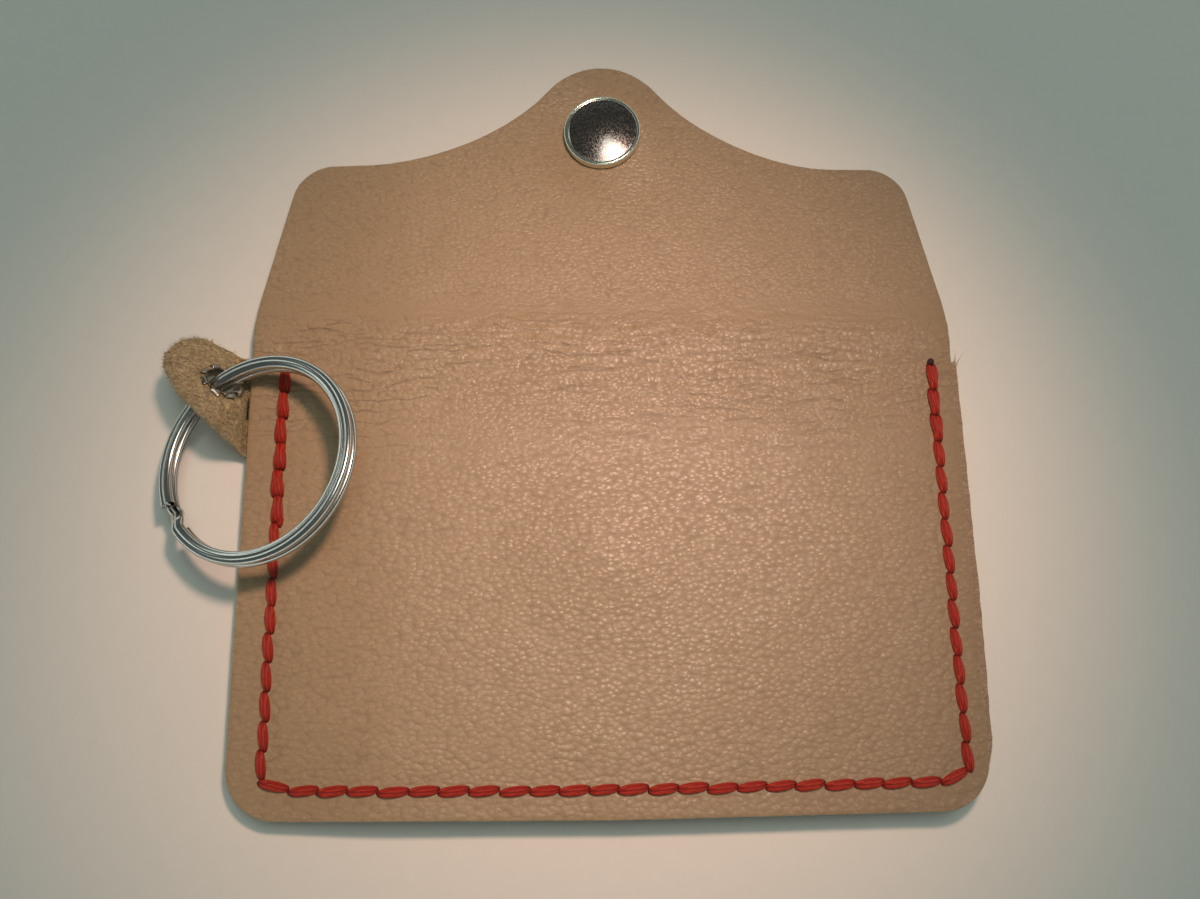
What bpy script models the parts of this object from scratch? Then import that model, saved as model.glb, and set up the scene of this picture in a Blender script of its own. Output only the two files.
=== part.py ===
"""A keychain card wallet of hand-stitched leather, lying open on its pocket side.

Two panels are sewn along three edges with one thread, and the back panel's own leather runs on
past a fold as the flap. A snap closes the flap on the pocket. A leather key tab is caught in the
left seam, and a split ring hangs from its eyelet.

Metres, +Z up, +X to the right, +Y from the bottom edge to the flap's tip. The pieces are laid
out from the middle of the wallet's bottom edge, on the surface that it lies on, and the last
section moves the origin under the middle of the whole.
"""

import math

import bmesh
import bpy
from mathutils import Matrix, Vector

MM = 0.001

# Leather body
WALLET_WIDTH = 102 * MM
FOLD_HEIGHT = 67.6 * MM  # bottom edge to fold
LEATHER = 1.1 * MM
CARD_SLOT = 0.9 * MM  # free height between the panels
BOTTOM_CORNER = 7 * MM
BOTTOM_BOW = 0.5 * MM  # the bottom edge hangs lower in the middle
FOLD_GAP = 0.3 * MM  # between the solids of one hide, where it folds

# Pocket panel
POCKET_SET_DOWN = 3.2 * MM  # from the fold to its top edge
POCKET_OVERHANG = 1.55 * MM  # past the back panel's right edge
POCKET_CORNER = 9.5 * MM

# Flap
FLAP_LENGTH = 44.7 * MM
FLAP_STRAIGHT = 3.1 * MM  # from the fold to where the sides lean in
SIDE_EASE = 22 * MM  # radius of that change
SHOULDER_INSET = 5.6 * MM  # from the wallet's side
SHOULDER_LENGTH = 27.3 * MM
SHOULDER_CORNER = 6 * MM
BELL_ANGLE = math.radians(51)  # slope between the shoulders and the tip
BELL_SWEEP = 35 * MM
TIP_RADIUS = 11.1 * MM
OUTLINE_STEP = math.radians(9)  # one outline point for each such turn

# Seam
SIDE_STITCHES = 15
BOTTOM_STITCHES = 24
SEAM_LEFT = 4.85 * MM  # in from each edge
SEAM_RIGHT = 3.2 * MM
SEAM_BOTTOM = 3.9 * MM
SEAM_TOP = 1.3 * MM  # down from the pocket's top edge
CORNER_STEP = 3.8 * MM  # from a corner hole to the first hole of the bottom line
CORNER_RISE = 1.2 * MM
THREAD = 0.9 * MM
STRAND_OFFSET = 0.65 * MM  # each of a hole's two strands, to either side of the seam line
SLIT_CLEARANCE = 0.2 * MM  # round a strand in its slit
STITCH_FOOT = 0.4 * MM  # thread centre over the face, at a hole
STITCH_CREST = 0.62 * MM  # and halfway between two holes

# Snap: a socket half through the flap, and a stud half through the pocket panel
SNAP_FROM_TIP = 12.1 * MM
METAL_GAP = 0.1 * MM  # metal to leather, and metal to metal
SNAP_PLATE = 0.35 * MM
CAP_RADIUS = 5.82 * MM
CAP_SIDE = 1.1 * MM
CAP_CROWN = 0.65 * MM
CAP_FLAT_RADIUS = 2.8 * MM
CAP_LIP = 0.7 * MM
POST_RADIUS = 1.2 * MM
POST_HOLE = 1.4 * MM
POST_HEAD = 2.1 * MM
SOCKET_FLANGE = 5.3 * MM
SOCKET_BODY = 4.4 * MM
SOCKET_HEIGHT = 2.7 * MM
SOCKET_WALL = 0.4 * MM
STUD_HEIGHT = 2.2 * MM
STUD_FLANGE = 4.7 * MM
STUD_NECK = 2.0 * MM
STUD_BULGE = 2.4 * MM
STUD_END = 2.1 * MM
STUD_BORE = 1.55 * MM
STUD_POST_FLANGE = 4.5 * MM
CLINCH_HEIGHT = 0.3 * MM
SPRING_WIRE = 0.5 * MM
SPRING_CLEARANCE = 0.15 * MM  # stud to spring
SPRING_GAP = math.radians(40)

# Key tab: distance out from the wallet's left edge, and down from the pocket's top edge
TAB_START = 0.5 * MM
TAB_BASE = 14.4 * MM
TAB_SHAPE = (
    (8.0 * MM, 6.8 * MM, 10 * MM),
    (11.2 * MM, 1.0 * MM, 3.5 * MM),
    (9.4 * MM, -3.7 * MM, 3 * MM),
)
TAB_LEATHER = 1.1 * MM
TAB_SKIVED = 0.5 * MM  # where it is thinned to go in the seam
TAB_SKIVE_LENGTH = 2 * MM
TAB_ROOT_DEPTH = 7.6 * MM
TAB_ROOT_GAP = 0.3 * MM
TAB_TWIST = 0.65  # fall per distance along the edge, once it is twisted
TAB_GRID = 1.3 * MM
TAB_FLAT = 4.2 * MM  # flat round the eyelet, out to this radius
TAB_FLAT_FADE = 1.5 * MM

# Eyelet in the tab
EYELET_OUT = 3.58 * MM
EYELET_DOWN = 4.74 * MM
EYELET_BORE = 2.2 * MM
EYELET_WALL = 0.25 * MM
EYELET_FLANGE = 3.2 * MM
EYELET_PLATE = 0.25 * MM
PETALS = 8
PETAL_TIP = 3.4 * MM
PETAL_NOTCH = 2.8 * MM

# Split ring, leaning from the wallet towards the surface
RING_DIAMETER = 30 * MM
RING_BAND = 1.9 * MM  # width of the wire, seen along the ring's axis
RING_COIL = 1.09 * MM  # height of one coil
COIL_GAP = 0.12 * MM
RING_ROUNDING = 0.45 * MM
RING_LEAN = math.radians(-21.3)
RING_PITCH = math.radians(-5.4)
RING_LIFT = -0.58 * MM  # wire centre at the eyelet, over the height at which it would lie on the panel
RING_EYELET_ANGLE = math.radians(122)  # where the eyelet lies on the ring
RING_KINK_ANGLE = math.radians(220)
RING_KINK = math.radians(14)
RING_STEP = math.radians(15)

TURNED_STEPS = 32

half_width = WALLET_WIDTH / 2
pocket_height = FOLD_HEIGHT - POCKET_SET_DOWN
pocket_z = STUD_HEIGHT
slot_z = pocket_z + LEATHER
back_z = slot_z + CARD_SLOT
top_z = back_z + LEATHER
root_z = slot_z + CARD_SLOT / 2
snap_y = FOLD_HEIGHT + FLAP_LENGTH - SNAP_FROM_TIP
stud_y = 2 * FOLD_HEIGHT - snap_y
ring_height = 2 * RING_COIL + COIL_GAP


def collection(name):
    group = bpy.data.collections.new(name)
    bpy.context.scene.collection.children.link(group)
    return group


def material(name, colour, roughness, metallic=0.0):
    finish = bpy.data.materials.new(name)
    finish.use_nodes = True
    shader = finish.node_tree.nodes["Principled BSDF"]
    shader.inputs["Base Color"].default_value = (*colour, 1)
    shader.inputs["Roughness"].default_value = roughness
    shader.inputs["Metallic"].default_value = metallic
    return finish


def add(name, data, finish, location=(0, 0, 0)):
    piece = bpy.data.objects.new(name, data)
    piece.location = location
    if finish:
        data.materials.append(finish)
        wallet.objects.link(piece)
    else:
        piece.hide_render = True
        piece.display_type = "WIRE"
        cutters.objects.link(piece)
    return piece


def rounded(corners):
    """Outline points of a polygon whose corners are (x, y, radius), with an arc at each radius."""
    points = []
    for index, (x, y, radius) in enumerate(corners):
        corner = Vector((x, y))
        before = (Vector(corners[index - 1][:2]) - corner).normalized()
        after = (Vector(corners[(index + 1) % len(corners)][:2]) - corner).normalized()
        turn = math.pi - before.angle(after)
        if radius == 0 or turn < 1e-6:
            points.append(corner)
            continue
        centre = corner + (before + after).normalized() * radius / math.cos(turn / 2)
        start = corner + before * radius * math.tan(turn / 2) - centre
        side = math.copysign(1, start.cross(corner - centre))
        steps = max(2, round(turn / OUTLINE_STEP))
        points += [centre + Matrix.Rotation(side * turn * i / steps, 2) @ start for i in range(steps + 1)]
    return points


def flat_mesh(name, outline, thickness, holes=()):
    """A flat plate between z = 0 and its thickness, as a mesh, from outlines drawn as curves."""
    curve = bpy.data.curves.new(name + "_outline", "CURVE")
    curve.dimensions = "2D"
    curve.fill_mode = "BOTH"
    curve.extrude = thickness / 2
    for loop in (outline, *holes):
        spline = curve.splines.new("POLY")
        spline.points.add(len(loop) - 1)
        for point, (x, y) in zip(spline.points, loop):
            point.co = (x, y, 0, 1)
        spline.use_cyclic_u = True
    drawn = bpy.data.objects.new(name + "_outline", curve)
    wallet.objects.link(drawn)
    drawn.location.z = thickness / 2
    graph = bpy.context.evaluated_depsgraph_get()
    mesh = bpy.data.meshes.new_from_object(drawn.evaluated_get(graph))
    mesh.transform(Matrix.Translation((0, 0, thickness / 2)))
    bpy.data.objects.remove(drawn)
    welded = bmesh.new()
    welded.from_mesh(mesh)
    bmesh.ops.remove_doubles(welded, verts=welded.verts, dist=1e-6)
    bmesh.ops.recalc_face_normals(welded, faces=welded.faces)
    welded.to_mesh(mesh)
    welded.free()
    mesh.name = name
    return mesh


def circle(radius, count=24):
    return [
        (radius * math.cos(2 * math.pi * i / count), radius * math.sin(2 * math.pi * i / count))
        for i in range(count)
    ]


def boolean(piece, other, operation="DIFFERENCE"):
    cut = piece.modifiers.new(operation.lower(), "BOOLEAN")
    cut.operation = operation
    cut.object = other
    return cut


def cylinder(name, radius, height, location, axis=(0, 0, 1)):
    """A cutter, centred on its location."""
    mesh = bpy.data.meshes.new(name)
    drill = bmesh.new()
    bmesh.ops.create_cone(drill, cap_ends=True, segments=24, radius1=radius, radius2=radius, depth=height)
    drill.to_mesh(mesh)
    drill.free()
    piece = add(name, mesh, None, location)
    piece.rotation_euler = Vector((0, 0, 1)).rotation_difference(Vector(axis)).to_euler()
    return piece


def turned(name, profile, finish, location=(0, 0, 0), closed=True, angle=2 * math.pi):
    """A turned piece. Its profile of (radius, z) runs down the outer side and up the inner one."""
    mesh = bpy.data.meshes.new(name)
    edges = [(i, i + 1) for i in range(len(profile) - 1)]
    if closed:
        edges.append((len(profile) - 1, 0))
    mesh.from_pydata([(radius, 0, z) for radius, z in profile], edges, [])
    piece = add(name, mesh, finish, location)
    lathe = piece.modifiers.new("lathe", "SCREW")
    lathe.angle = angle
    lathe.steps = lathe.render_steps = TURNED_STEPS
    lathe.use_merge_vertices = True
    lathe.merge_threshold = 1e-6
    lathe.use_smooth_shade = True
    return piece


def axis_empty(name, location, parent=None):
    """A joint's axis. The pieces that it carries are parented to it."""
    pivot = bpy.data.objects.new(name, None)
    pivot.location = location
    pivot.empty_display_size = 5 * MM
    wallet.objects.link(pivot)
    if parent:
        hang(pivot, parent)
    return pivot


def hang(piece, pivot):
    """Parents a piece to a joint's empty and leaves it where it is."""
    bpy.context.view_layer.update()
    piece.parent = pivot
    piece.matrix_parent_inverse = pivot.matrix_world.inverted()


for existing in list(bpy.data.objects):
    bpy.data.objects.remove(existing)
wallet = collection("card_wallet")
cutters = collection("cutters")
cutters.hide_render = True

grain_leather = material("grain_leather", (0.36, 0.23, 0.145), 0.55)
suede_leather = material("suede_leather", (0.22, 0.15, 0.07), 0.95)
waxed_thread = material("waxed_thread", (0.42, 0.03, 0.02), 0.6)
nickel = material("nickel", (0.45, 0.41, 0.37), 0.22, 1)
ring_steel = material("ring_steel", (0.62, 0.6, 0.58), 0.15, 1)


# Back panel and flap: one hide, in two solids that meet at the fold


def bottom_edge(x):
    return BOTTOM_BOW * (x / half_width) ** 2


def panel_outline(height, right, right_corner):
    """A panel from its bowed bottom edge up to a straight top edge."""
    low = bottom_edge(half_width)
    corners = rounded(
        [
            (right, low, right_corner),
            (right, height, 0),
            (-half_width, height, 0),
            (-half_width, low, BOTTOM_CORNER),
            (-half_width / 2, bottom_edge(half_width / 2), 0),
            (0, 0, 0),
            (half_width / 2, bottom_edge(half_width / 2), 0),
        ]
    )
    return corners


back_panel = add(
    "back_panel",
    flat_mesh("back_panel", panel_outline(FOLD_HEIGHT, half_width, BOTTOM_CORNER), LEATHER),
    grain_leather,
    (0, 0, back_z),
)
pocket_outline = panel_outline(pocket_height, half_width + POCKET_OVERHANG, POCKET_CORNER)
pocket_panel = add("pocket_panel", flat_mesh("pocket_panel", pocket_outline, LEATHER), grain_leather, (0, 0, pocket_z))

shoulder_y = FOLD_HEIGHT + SHOULDER_LENGTH
tip_centre_y = FOLD_HEIGHT + FLAP_LENGTH - TIP_RADIUS
apex_y = tip_centre_y + TIP_RADIUS / math.cos(BELL_ANGLE)
bell_foot = (apex_y - shoulder_y) / math.tan(BELL_ANGLE)
right_side = [
    (half_width, FOLD_HEIGHT + FOLD_GAP, 0),
    (half_width, FOLD_HEIGHT + FLAP_STRAIGHT, SIDE_EASE),
    (half_width - SHOULDER_INSET, shoulder_y, SHOULDER_CORNER),
    (bell_foot, shoulder_y, BELL_SWEEP),
]
left_side = [(-x, y, radius) for x, y, radius in reversed(right_side)]
flap_outline = rounded([*right_side, (0, apex_y, TIP_RADIUS), *left_side])
flap = add("flap", flat_mesh("flap", flap_outline, LEATHER), grain_leather, (0, 0, back_z))


# Key tab: a tongue sewn between the panels, and the free part that twists up out of the seam


def tab_point(out, down):
    return (-half_width - out, pocket_height - down)


eyelet_x, eyelet_y = tab_point(EYELET_OUT, EYELET_DOWN)
eyelet_z = top_z + ring_height / 2 + RING_LIFT
eyelet_reach = EYELET_OUT - TAB_START
tab_climb = (eyelet_z - root_z) / eyelet_reach


def smooth(share):
    share = min(max(share, 0), 1)
    return share * share * (3 - 2 * share)


def tab_height(x, y):
    """Height of the tab's middle layer: it climbs from the seam, twists, and is flat at the eyelet."""
    out = -half_width - TAB_START - x
    plane = root_z + tab_climb * out + TAB_TWIST * (eyelet_y - y)
    free = root_z + tab_climb * out + TAB_TWIST * smooth(out / eyelet_reach) * (eyelet_y - y)
    apart = math.hypot(x - eyelet_x, y - eyelet_y)
    flatness = (1 - smooth((apart - TAB_FLAT) / TAB_FLAT_FADE)) * smooth(out / eyelet_reach * 7)
    return free + (plane - free) * flatness


def tab_normal(x, y):
    step = 0.01 * MM
    slope_x = (tab_height(x + step, y) - tab_height(x - step, y)) / (2 * step)
    slope_y = (tab_height(x, y + step) - tab_height(x, y - step)) / (2 * step)
    return Vector((-slope_x, -slope_y, 1)).normalized()


tab_outline = rounded(
    [
        (*tab_point(TAB_START, 0), 0),
        *((*tab_point(out, down), radius) for out, down, radius in reversed(TAB_SHAPE)),
        (*tab_point(TAB_START, TAB_BASE), 0),
    ]
)
tab_mesh = flat_mesh("key_tab", tab_outline, 1 * MM)
grid = bmesh.new()
grid.from_mesh(tab_mesh)
for direction in (Vector((1, 0, 0)), Vector((0, 1, 0))):
    reaches = [vertex.co @ direction for vertex in grid.verts]
    lines = math.ceil((max(reaches) - min(reaches)) / TAB_GRID)
    for line in range(1, lines):
        at = direction * (min(reaches) + (max(reaches) - min(reaches)) * line / lines)
        everything = [*grid.verts, *grid.edges, *grid.faces]
        bmesh.ops.bisect_plane(grid, geom=everything, dist=1e-7, plane_co=at, plane_no=direction)
bmesh.ops.triangulate(grid, faces=grid.faces)
for vertex in grid.verts:
    x, y, z = vertex.co
    skive = smooth((-half_width - TAB_START - x) / TAB_SKIVE_LENGTH)
    thickness = TAB_SKIVED + (TAB_LEATHER - TAB_SKIVED) * skive
    layer = z / MM - 0.5
    vertex.co = Vector((x, y, tab_height(x, y))) + tab_normal(x, y) * thickness * layer
grid.to_mesh(tab_mesh)
grid.free()
key_tab = add("key_tab", tab_mesh, suede_leather)
eyelet_centre = Vector((eyelet_x, eyelet_y, eyelet_z))
eyelet_axis = tab_normal(eyelet_x, eyelet_y)
tab_hole_radius = EYELET_BORE + EYELET_WALL + METAL_GAP
boolean(key_tab, cylinder("tab_hole", tab_hole_radius, 4 * TAB_LEATHER, eyelet_centre, eyelet_axis))

root_right, root_low = tab_point(-TAB_ROOT_DEPTH, TAB_BASE)
root_left = tab_point(TAB_START - TAB_ROOT_GAP, 0)[0]
root_outline = rounded(
    [
        (root_left, root_low, 0),
        (root_right, root_low, TAB_ROOT_DEPTH / 4),
        (root_right, pocket_height, TAB_ROOT_DEPTH / 4),
        (root_left, pocket_height, 0),
    ]
)
key_tab_root = add(
    "key_tab_root",
    flat_mesh("key_tab_root", root_outline, TAB_SKIVED),
    suede_leather,
    (0, 0, root_z - TAB_SKIVED / 2),
)


# Seam: the holes, their slits through every layer, and one thread that passes each hole twice


def seam_holes():
    left, right = -half_width + SEAM_LEFT, half_width - SEAM_RIGHT
    high = pocket_height - SEAM_TOP
    low = bottom_edge(half_width) + SEAM_BOTTOM + CORNER_RISE
    side = [high + (low - high) * i / SIDE_STITCHES for i in range(SIDE_STITCHES + 1)]
    start, end = left + CORNER_STEP, right - CORNER_STEP
    steps = BOTTOM_STITCHES - 2
    line = [start + (end - start) * i / steps for i in range(steps + 1)]
    bottom = [(x, bottom_edge(x) + SEAM_BOTTOM) for x in line]
    points = [*((left, y) for y in side), *bottom, *((right, y) for y in reversed(side))]
    return [Vector((x, y, 0)) for x, y in points]


def across(holes, index):
    """Unit vector across the seam at a hole."""
    along = holes[min(index + 1, len(holes) - 1)] - holes[max(index - 1, 0)]
    return Vector((-along.y, along.x, 0)).normalized()


holes = seam_holes()
slit_mesh = bpy.data.meshes.new("stitch_slits")
slits = bmesh.new()
slit_width = THREAD + 2 * SLIT_CLEARANCE + 0.1 * MM
slit_length = 2 * STRAND_OFFSET + THREAD + 2 * SLIT_CLEARANCE
for index, hole in enumerate(holes):
    direction = across(holes, index)
    turn = Matrix.Rotation(math.atan2(direction.y, direction.x) % math.pi, 4, "Z")
    size = Matrix.Diagonal((slit_length, slit_width, 3 * (top_z - pocket_z), 1))
    place = Matrix.Translation(hole + Vector((0, 0, root_z)))
    bmesh.ops.create_cube(slits, size=1, matrix=place @ turn @ size)
slits.to_mesh(slit_mesh)
slits.free()
stitch_slits = add("stitch_slits", slit_mesh, None)
for layer in (back_panel, pocket_panel, key_tab_root):
    boolean(layer, stitch_slits)


def strand(index, side):
    """Offset of a strand at a hole: side is +1 or -1."""
    return holes[index] + across(holes, index) * STRAND_OFFSET * side


def stitch(start, end, side_start, on_top):
    """Points of one stitch between two holes, on the back panel or under the pocket."""
    first, last = strand(start, side_start), strand(end, -side_start)
    face, up = (top_z, 1) if on_top else (pocket_z, -1)
    foot, crest = face + up * STITCH_FOOT, face + up * STITCH_CREST
    middle = (first + last) / 2
    return [Vector((*first.xy, foot)), Vector((*middle.xy, crest)), Vector((*last.xy, foot))]


thread_path = [strand(0, 1) + Vector((0, 0, root_z))]
last_hole = len(holes) - 1
for index in range(last_hole):
    on_top = index % 2 == 0
    thread_path += stitch(index, index + 1, 1 if on_top else -1, on_top)
turn_side = 1 if last_hole % 2 == 0 else -1
if last_hole % 2 == 0:
    thread_path.append(Vector((*strand(last_hole, turn_side).xy, top_z + STITCH_FOOT)))
for index in range(last_hole, 0, -1):
    on_top = (index - 1) % 2 == 1
    thread_path += stitch(index, index - 1, -1 if on_top else 1, on_top)
thread_path.append(strand(0, -1) + Vector((0, 0, root_z)))


def tube(name, points, finish, depth, resolution):
    curve = bpy.data.curves.new(name, "CURVE")
    curve.dimensions = "3D"
    curve.bevel_depth = depth
    curve.bevel_resolution = resolution
    curve.use_fill_caps = True
    curve.twist_mode = "MINIMUM"
    spline = curve.splines.new("POLY")
    spline.points.add(len(points) - 1)
    for point, place in zip(spline.points, points):
        point.co = (*place, 1)
    return add(name, curve, finish)


seam_thread = tube("seam_thread", thread_path, waxed_thread, THREAD / 2, 1)


# Socket half of the snap: cap and post above the flap, socket and its spring below

flap_snap = (0, snap_y, top_z)
cap_top = CAP_SIDE + CAP_CROWN
cap_inner = CAP_RADIUS - SNAP_PLATE
lip_top = METAL_GAP + SNAP_PLATE
snap_cap = turned(
    "snap_cap",
    [
        (0, cap_top),
        (CAP_FLAT_RADIUS, cap_top),
        (CAP_RADIUS - 2 * SNAP_PLATE, CAP_SIDE + CAP_CROWN / 2),
        (CAP_RADIUS, CAP_SIDE),
        (CAP_RADIUS, METAL_GAP),
        (cap_inner - CAP_LIP, METAL_GAP),
        (cap_inner - CAP_LIP, lip_top),
        (cap_inner, lip_top),
        (cap_inner, CAP_SIDE - SNAP_PLATE / 2),
        (CAP_RADIUS - 2 * SNAP_PLATE, CAP_SIDE + CAP_CROWN / 2 - SNAP_PLATE),
        (CAP_FLAT_RADIUS, cap_top - SNAP_PLATE),
        (0, cap_top - SNAP_PLATE),
    ],
    nickel,
    flap_snap,
    closed=False,
)

socket_top = -LEATHER - METAL_GAP
web_low = socket_top - SNAP_PLATE
mouth_z = -LEATHER - SOCKET_HEIGHT
post_flange_low = lip_top + METAL_GAP / 2
post_flange = cap_inner - METAL_GAP
clinch_top = web_low - METAL_GAP
cap_post = turned(
    "cap_post",
    [
        (0, post_flange_low + SNAP_PLATE),
        (post_flange, post_flange_low + SNAP_PLATE),
        (post_flange, post_flange_low),
        (POST_RADIUS, post_flange_low),
        (POST_RADIUS, clinch_top),
        (POST_HEAD, clinch_top),
        (POST_HEAD, clinch_top - CLINCH_HEIGHT),
        (0, clinch_top - CLINCH_HEIGHT),
    ],
    nickel,
    flap_snap,
    closed=False,
)
boolean(flap, cylinder("flap_post_hole", POST_HOLE + METAL_GAP, 4 * LEATHER, (0, snap_y, back_z)))

spring_inner = STUD_BULGE + SPRING_CLEARANCE
mouth_radius = spring_inner + SPRING_WIRE / 2
snap_socket = turned(
    "snap_socket",
    [
        (POST_HOLE, socket_top),
        (SOCKET_FLANGE, socket_top),
        (SOCKET_FLANGE, socket_top - SOCKET_WALL),
        (SOCKET_BODY, socket_top - SOCKET_WALL),
        (SOCKET_BODY, mouth_z + SOCKET_WALL / 2),
        (SOCKET_BODY - SOCKET_WALL / 2, mouth_z),
        (mouth_radius, mouth_z),
        (mouth_radius, mouth_z + SOCKET_WALL),
        (SOCKET_BODY - SOCKET_WALL, mouth_z + SOCKET_WALL),
        (SOCKET_BODY - SOCKET_WALL, web_low),
        (POST_HOLE, web_low),
    ],
    nickel,
    flap_snap,
)

spring_z = top_z + mouth_z + SOCKET_WALL + METAL_GAP + SPRING_WIRE / 2
spring_radius = spring_inner + SPRING_WIRE / 2
spring_sweep = 2 * math.pi - SPRING_GAP
spring_points = [
    Vector((spring_radius * math.cos(angle), snap_y + spring_radius * math.sin(angle), spring_z))
    for angle in (SPRING_GAP / 2 + spring_sweep * i / 20 for i in range(21))
]
snap_spring = tube("snap_spring", spring_points, ring_steel, SPRING_WIRE / 2, 1)


# Stud half of the snap: the stud outside the pocket, and its post from the inside

pocket_snap = (0, stud_y, pocket_z)
stud_flange_low = -METAL_GAP - SOCKET_WALL
snap_stud = turned(
    "snap_stud",
    [
        (POST_HOLE, -METAL_GAP),
        (STUD_FLANGE, -METAL_GAP),
        (STUD_FLANGE, stud_flange_low),
        (STUD_NECK, stud_flange_low),
        (STUD_NECK, stud_flange_low - (STUD_HEIGHT + stud_flange_low) / 3),
        (STUD_BULGE, -STUD_HEIGHT * 0.72),
        (STUD_BULGE, -STUD_HEIGHT * 0.86),
        (STUD_END, -STUD_HEIGHT),
        (STUD_BORE, -STUD_HEIGHT),
        (STUD_BORE, stud_flange_low - SNAP_PLATE),
        (POST_HOLE, stud_flange_low - SNAP_PLATE),
    ],
    nickel,
    pocket_snap,
)
stud_clinch = stud_flange_low - SNAP_PLATE - METAL_GAP
stud_post = turned(
    "stud_post",
    [
        (0, LEATHER + METAL_GAP + SNAP_PLATE),
        (STUD_POST_FLANGE, LEATHER + METAL_GAP + SNAP_PLATE),
        (STUD_POST_FLANGE, LEATHER + METAL_GAP),
        (POST_RADIUS, LEATHER + METAL_GAP),
        (POST_RADIUS, stud_clinch),
        (STUD_BORE - METAL_GAP, stud_clinch),
        (STUD_BORE - METAL_GAP, stud_clinch - CLINCH_HEIGHT),
        (0, stud_clinch - CLINCH_HEIGHT),
    ],
    nickel,
    pocket_snap,
    closed=False,
)
boolean(pocket_panel, cylinder("pocket_post_hole", POST_HOLE + METAL_GAP, 4 * LEATHER, (0, stud_y, pocket_z)))


# Eyelet: a flange under the tab, a barrel through it, and the barrel's end split into petals

half_tab = TAB_LEATHER / 2
barrel = EYELET_BORE + EYELET_WALL
petal_z = half_tab + METAL_GAP
key_eyelet = turned(
    "key_eyelet",
    [
        (EYELET_BORE, petal_z + EYELET_PLATE),
        (barrel, petal_z + EYELET_PLATE),
        (barrel, -petal_z),
        (EYELET_FLANGE, -petal_z),
        (EYELET_FLANGE, -petal_z - EYELET_PLATE),
        (EYELET_BORE, -petal_z - EYELET_PLATE),
    ],
    nickel,
    eyelet_centre,
)
petal_outline = []
for index in range(6 * PETALS):
    angle = 2 * math.pi * index / (6 * PETALS)
    bulge = abs(math.cos(PETALS * angle / 2)) ** 0.5
    reach = PETAL_NOTCH + (PETAL_TIP - PETAL_NOTCH) * bulge
    petal_outline.append((reach * math.cos(angle), reach * math.sin(angle)))
petal_hole = circle(EYELET_BORE + EYELET_WALL / 2)
petal_plate = flat_mesh("petal_plate", petal_outline, EYELET_PLATE * 0.9, [petal_hole])
petals = add("petal_plate", petal_plate, None)
eyelet_turn = Vector((0, 0, 1)).rotation_difference(eyelet_axis).to_euler()
key_eyelet.rotation_euler = petals.rotation_euler = eyelet_turn
petals.location = eyelet_centre + eyelet_axis * (petal_z + EYELET_PLATE * 0.05)
boolean(key_eyelet, petals, "UNION")


# Split ring: two flattened coils of one wire, joined by a short kink

ring_middle = RING_DIAMETER / 2 - RING_BAND / 2
coil_z = (RING_COIL + COIL_GAP) / 2
margin = math.radians(2)
full = 2 * math.pi
ring_points = []


def ring_coil(start, end, z):
    steps = round((end - start) / RING_STEP)
    for step in range(steps + 1):
        angle = RING_KINK_ANGLE + start + (end - start) * step / steps
        ring_points.append(Vector((ring_middle * math.cos(angle), ring_middle * math.sin(angle), z)))


ring_coil(margin, full - RING_KINK, -coil_z)
ring_coil(full, 2 * full - RING_KINK - margin, coil_z)
band = bpy.data.curves.new("ring_band", "CURVE")
band.dimensions = "2D"
wide, high = RING_BAND / 2, RING_COIL / 2
section = rounded([(x * wide, y * high, RING_ROUNDING) for x, y in ((1, 1), (-1, 1), (-1, -1), (1, -1))])
section_step = len(section) // 4
section = [section[i] for i in range(len(section)) if i % section_step in (0, section_step - 1)]
outline = band.splines.new("POLY")
outline.points.add(len(section) - 1)
for point, (x, y) in zip(outline.points, reversed(section)):
    point.co = (x, y, 0, 1)
outline.use_cyclic_u = True
ring_section = add("ring_section", band, None)
split_ring = tube("split_ring", ring_points, ring_steel, 0, 0)
split_ring.data.bevel_mode = "OBJECT"
split_ring.data.bevel_object = ring_section
split_ring.data.twist_mode = "Z_UP"
split_ring.rotation_euler = (RING_PITCH, RING_LEAN, 0)
ring_turn = split_ring.rotation_euler.to_matrix()
to_eyelet = Vector((math.cos(RING_EYELET_ANGLE), math.sin(RING_EYELET_ANGLE), 0))
split_ring.location = eyelet_centre - ring_turn @ (to_eyelet * ring_middle)
swing_axis = (ring_turn @ Vector((-to_eyelet.y, to_eyelet.x, 0))).normalized()


# Joints: the flap folds under the pocket, the tab bends down, and the ring lifts off the panel

socket_reach = SOCKET_HEIGHT + METAL_GAP * 2 + SOCKET_WALL
fold_z = (back_z + pocket_z - socket_reach) / 2
flap_fold = axis_empty("flap_fold", (0, FOLD_HEIGHT, fold_z))
for piece in (flap, snap_cap, cap_post, snap_socket, snap_spring):
    hang(piece, flap_fold)
bend_x = -half_width - TAB_START + TAB_ROOT_GAP / 2
tab_bend = axis_empty("tab_bend", (bend_x, eyelet_y, root_z - TAB_SKIVED / 2))
for piece in (key_tab, key_eyelet):
    hang(piece, tab_bend)
ring_swing = axis_empty("ring_swing", eyelet_centre, tab_bend)
hang(split_ring, ring_swing)


# Origin: under the middle of the whole, on the surface that it lies on

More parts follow.
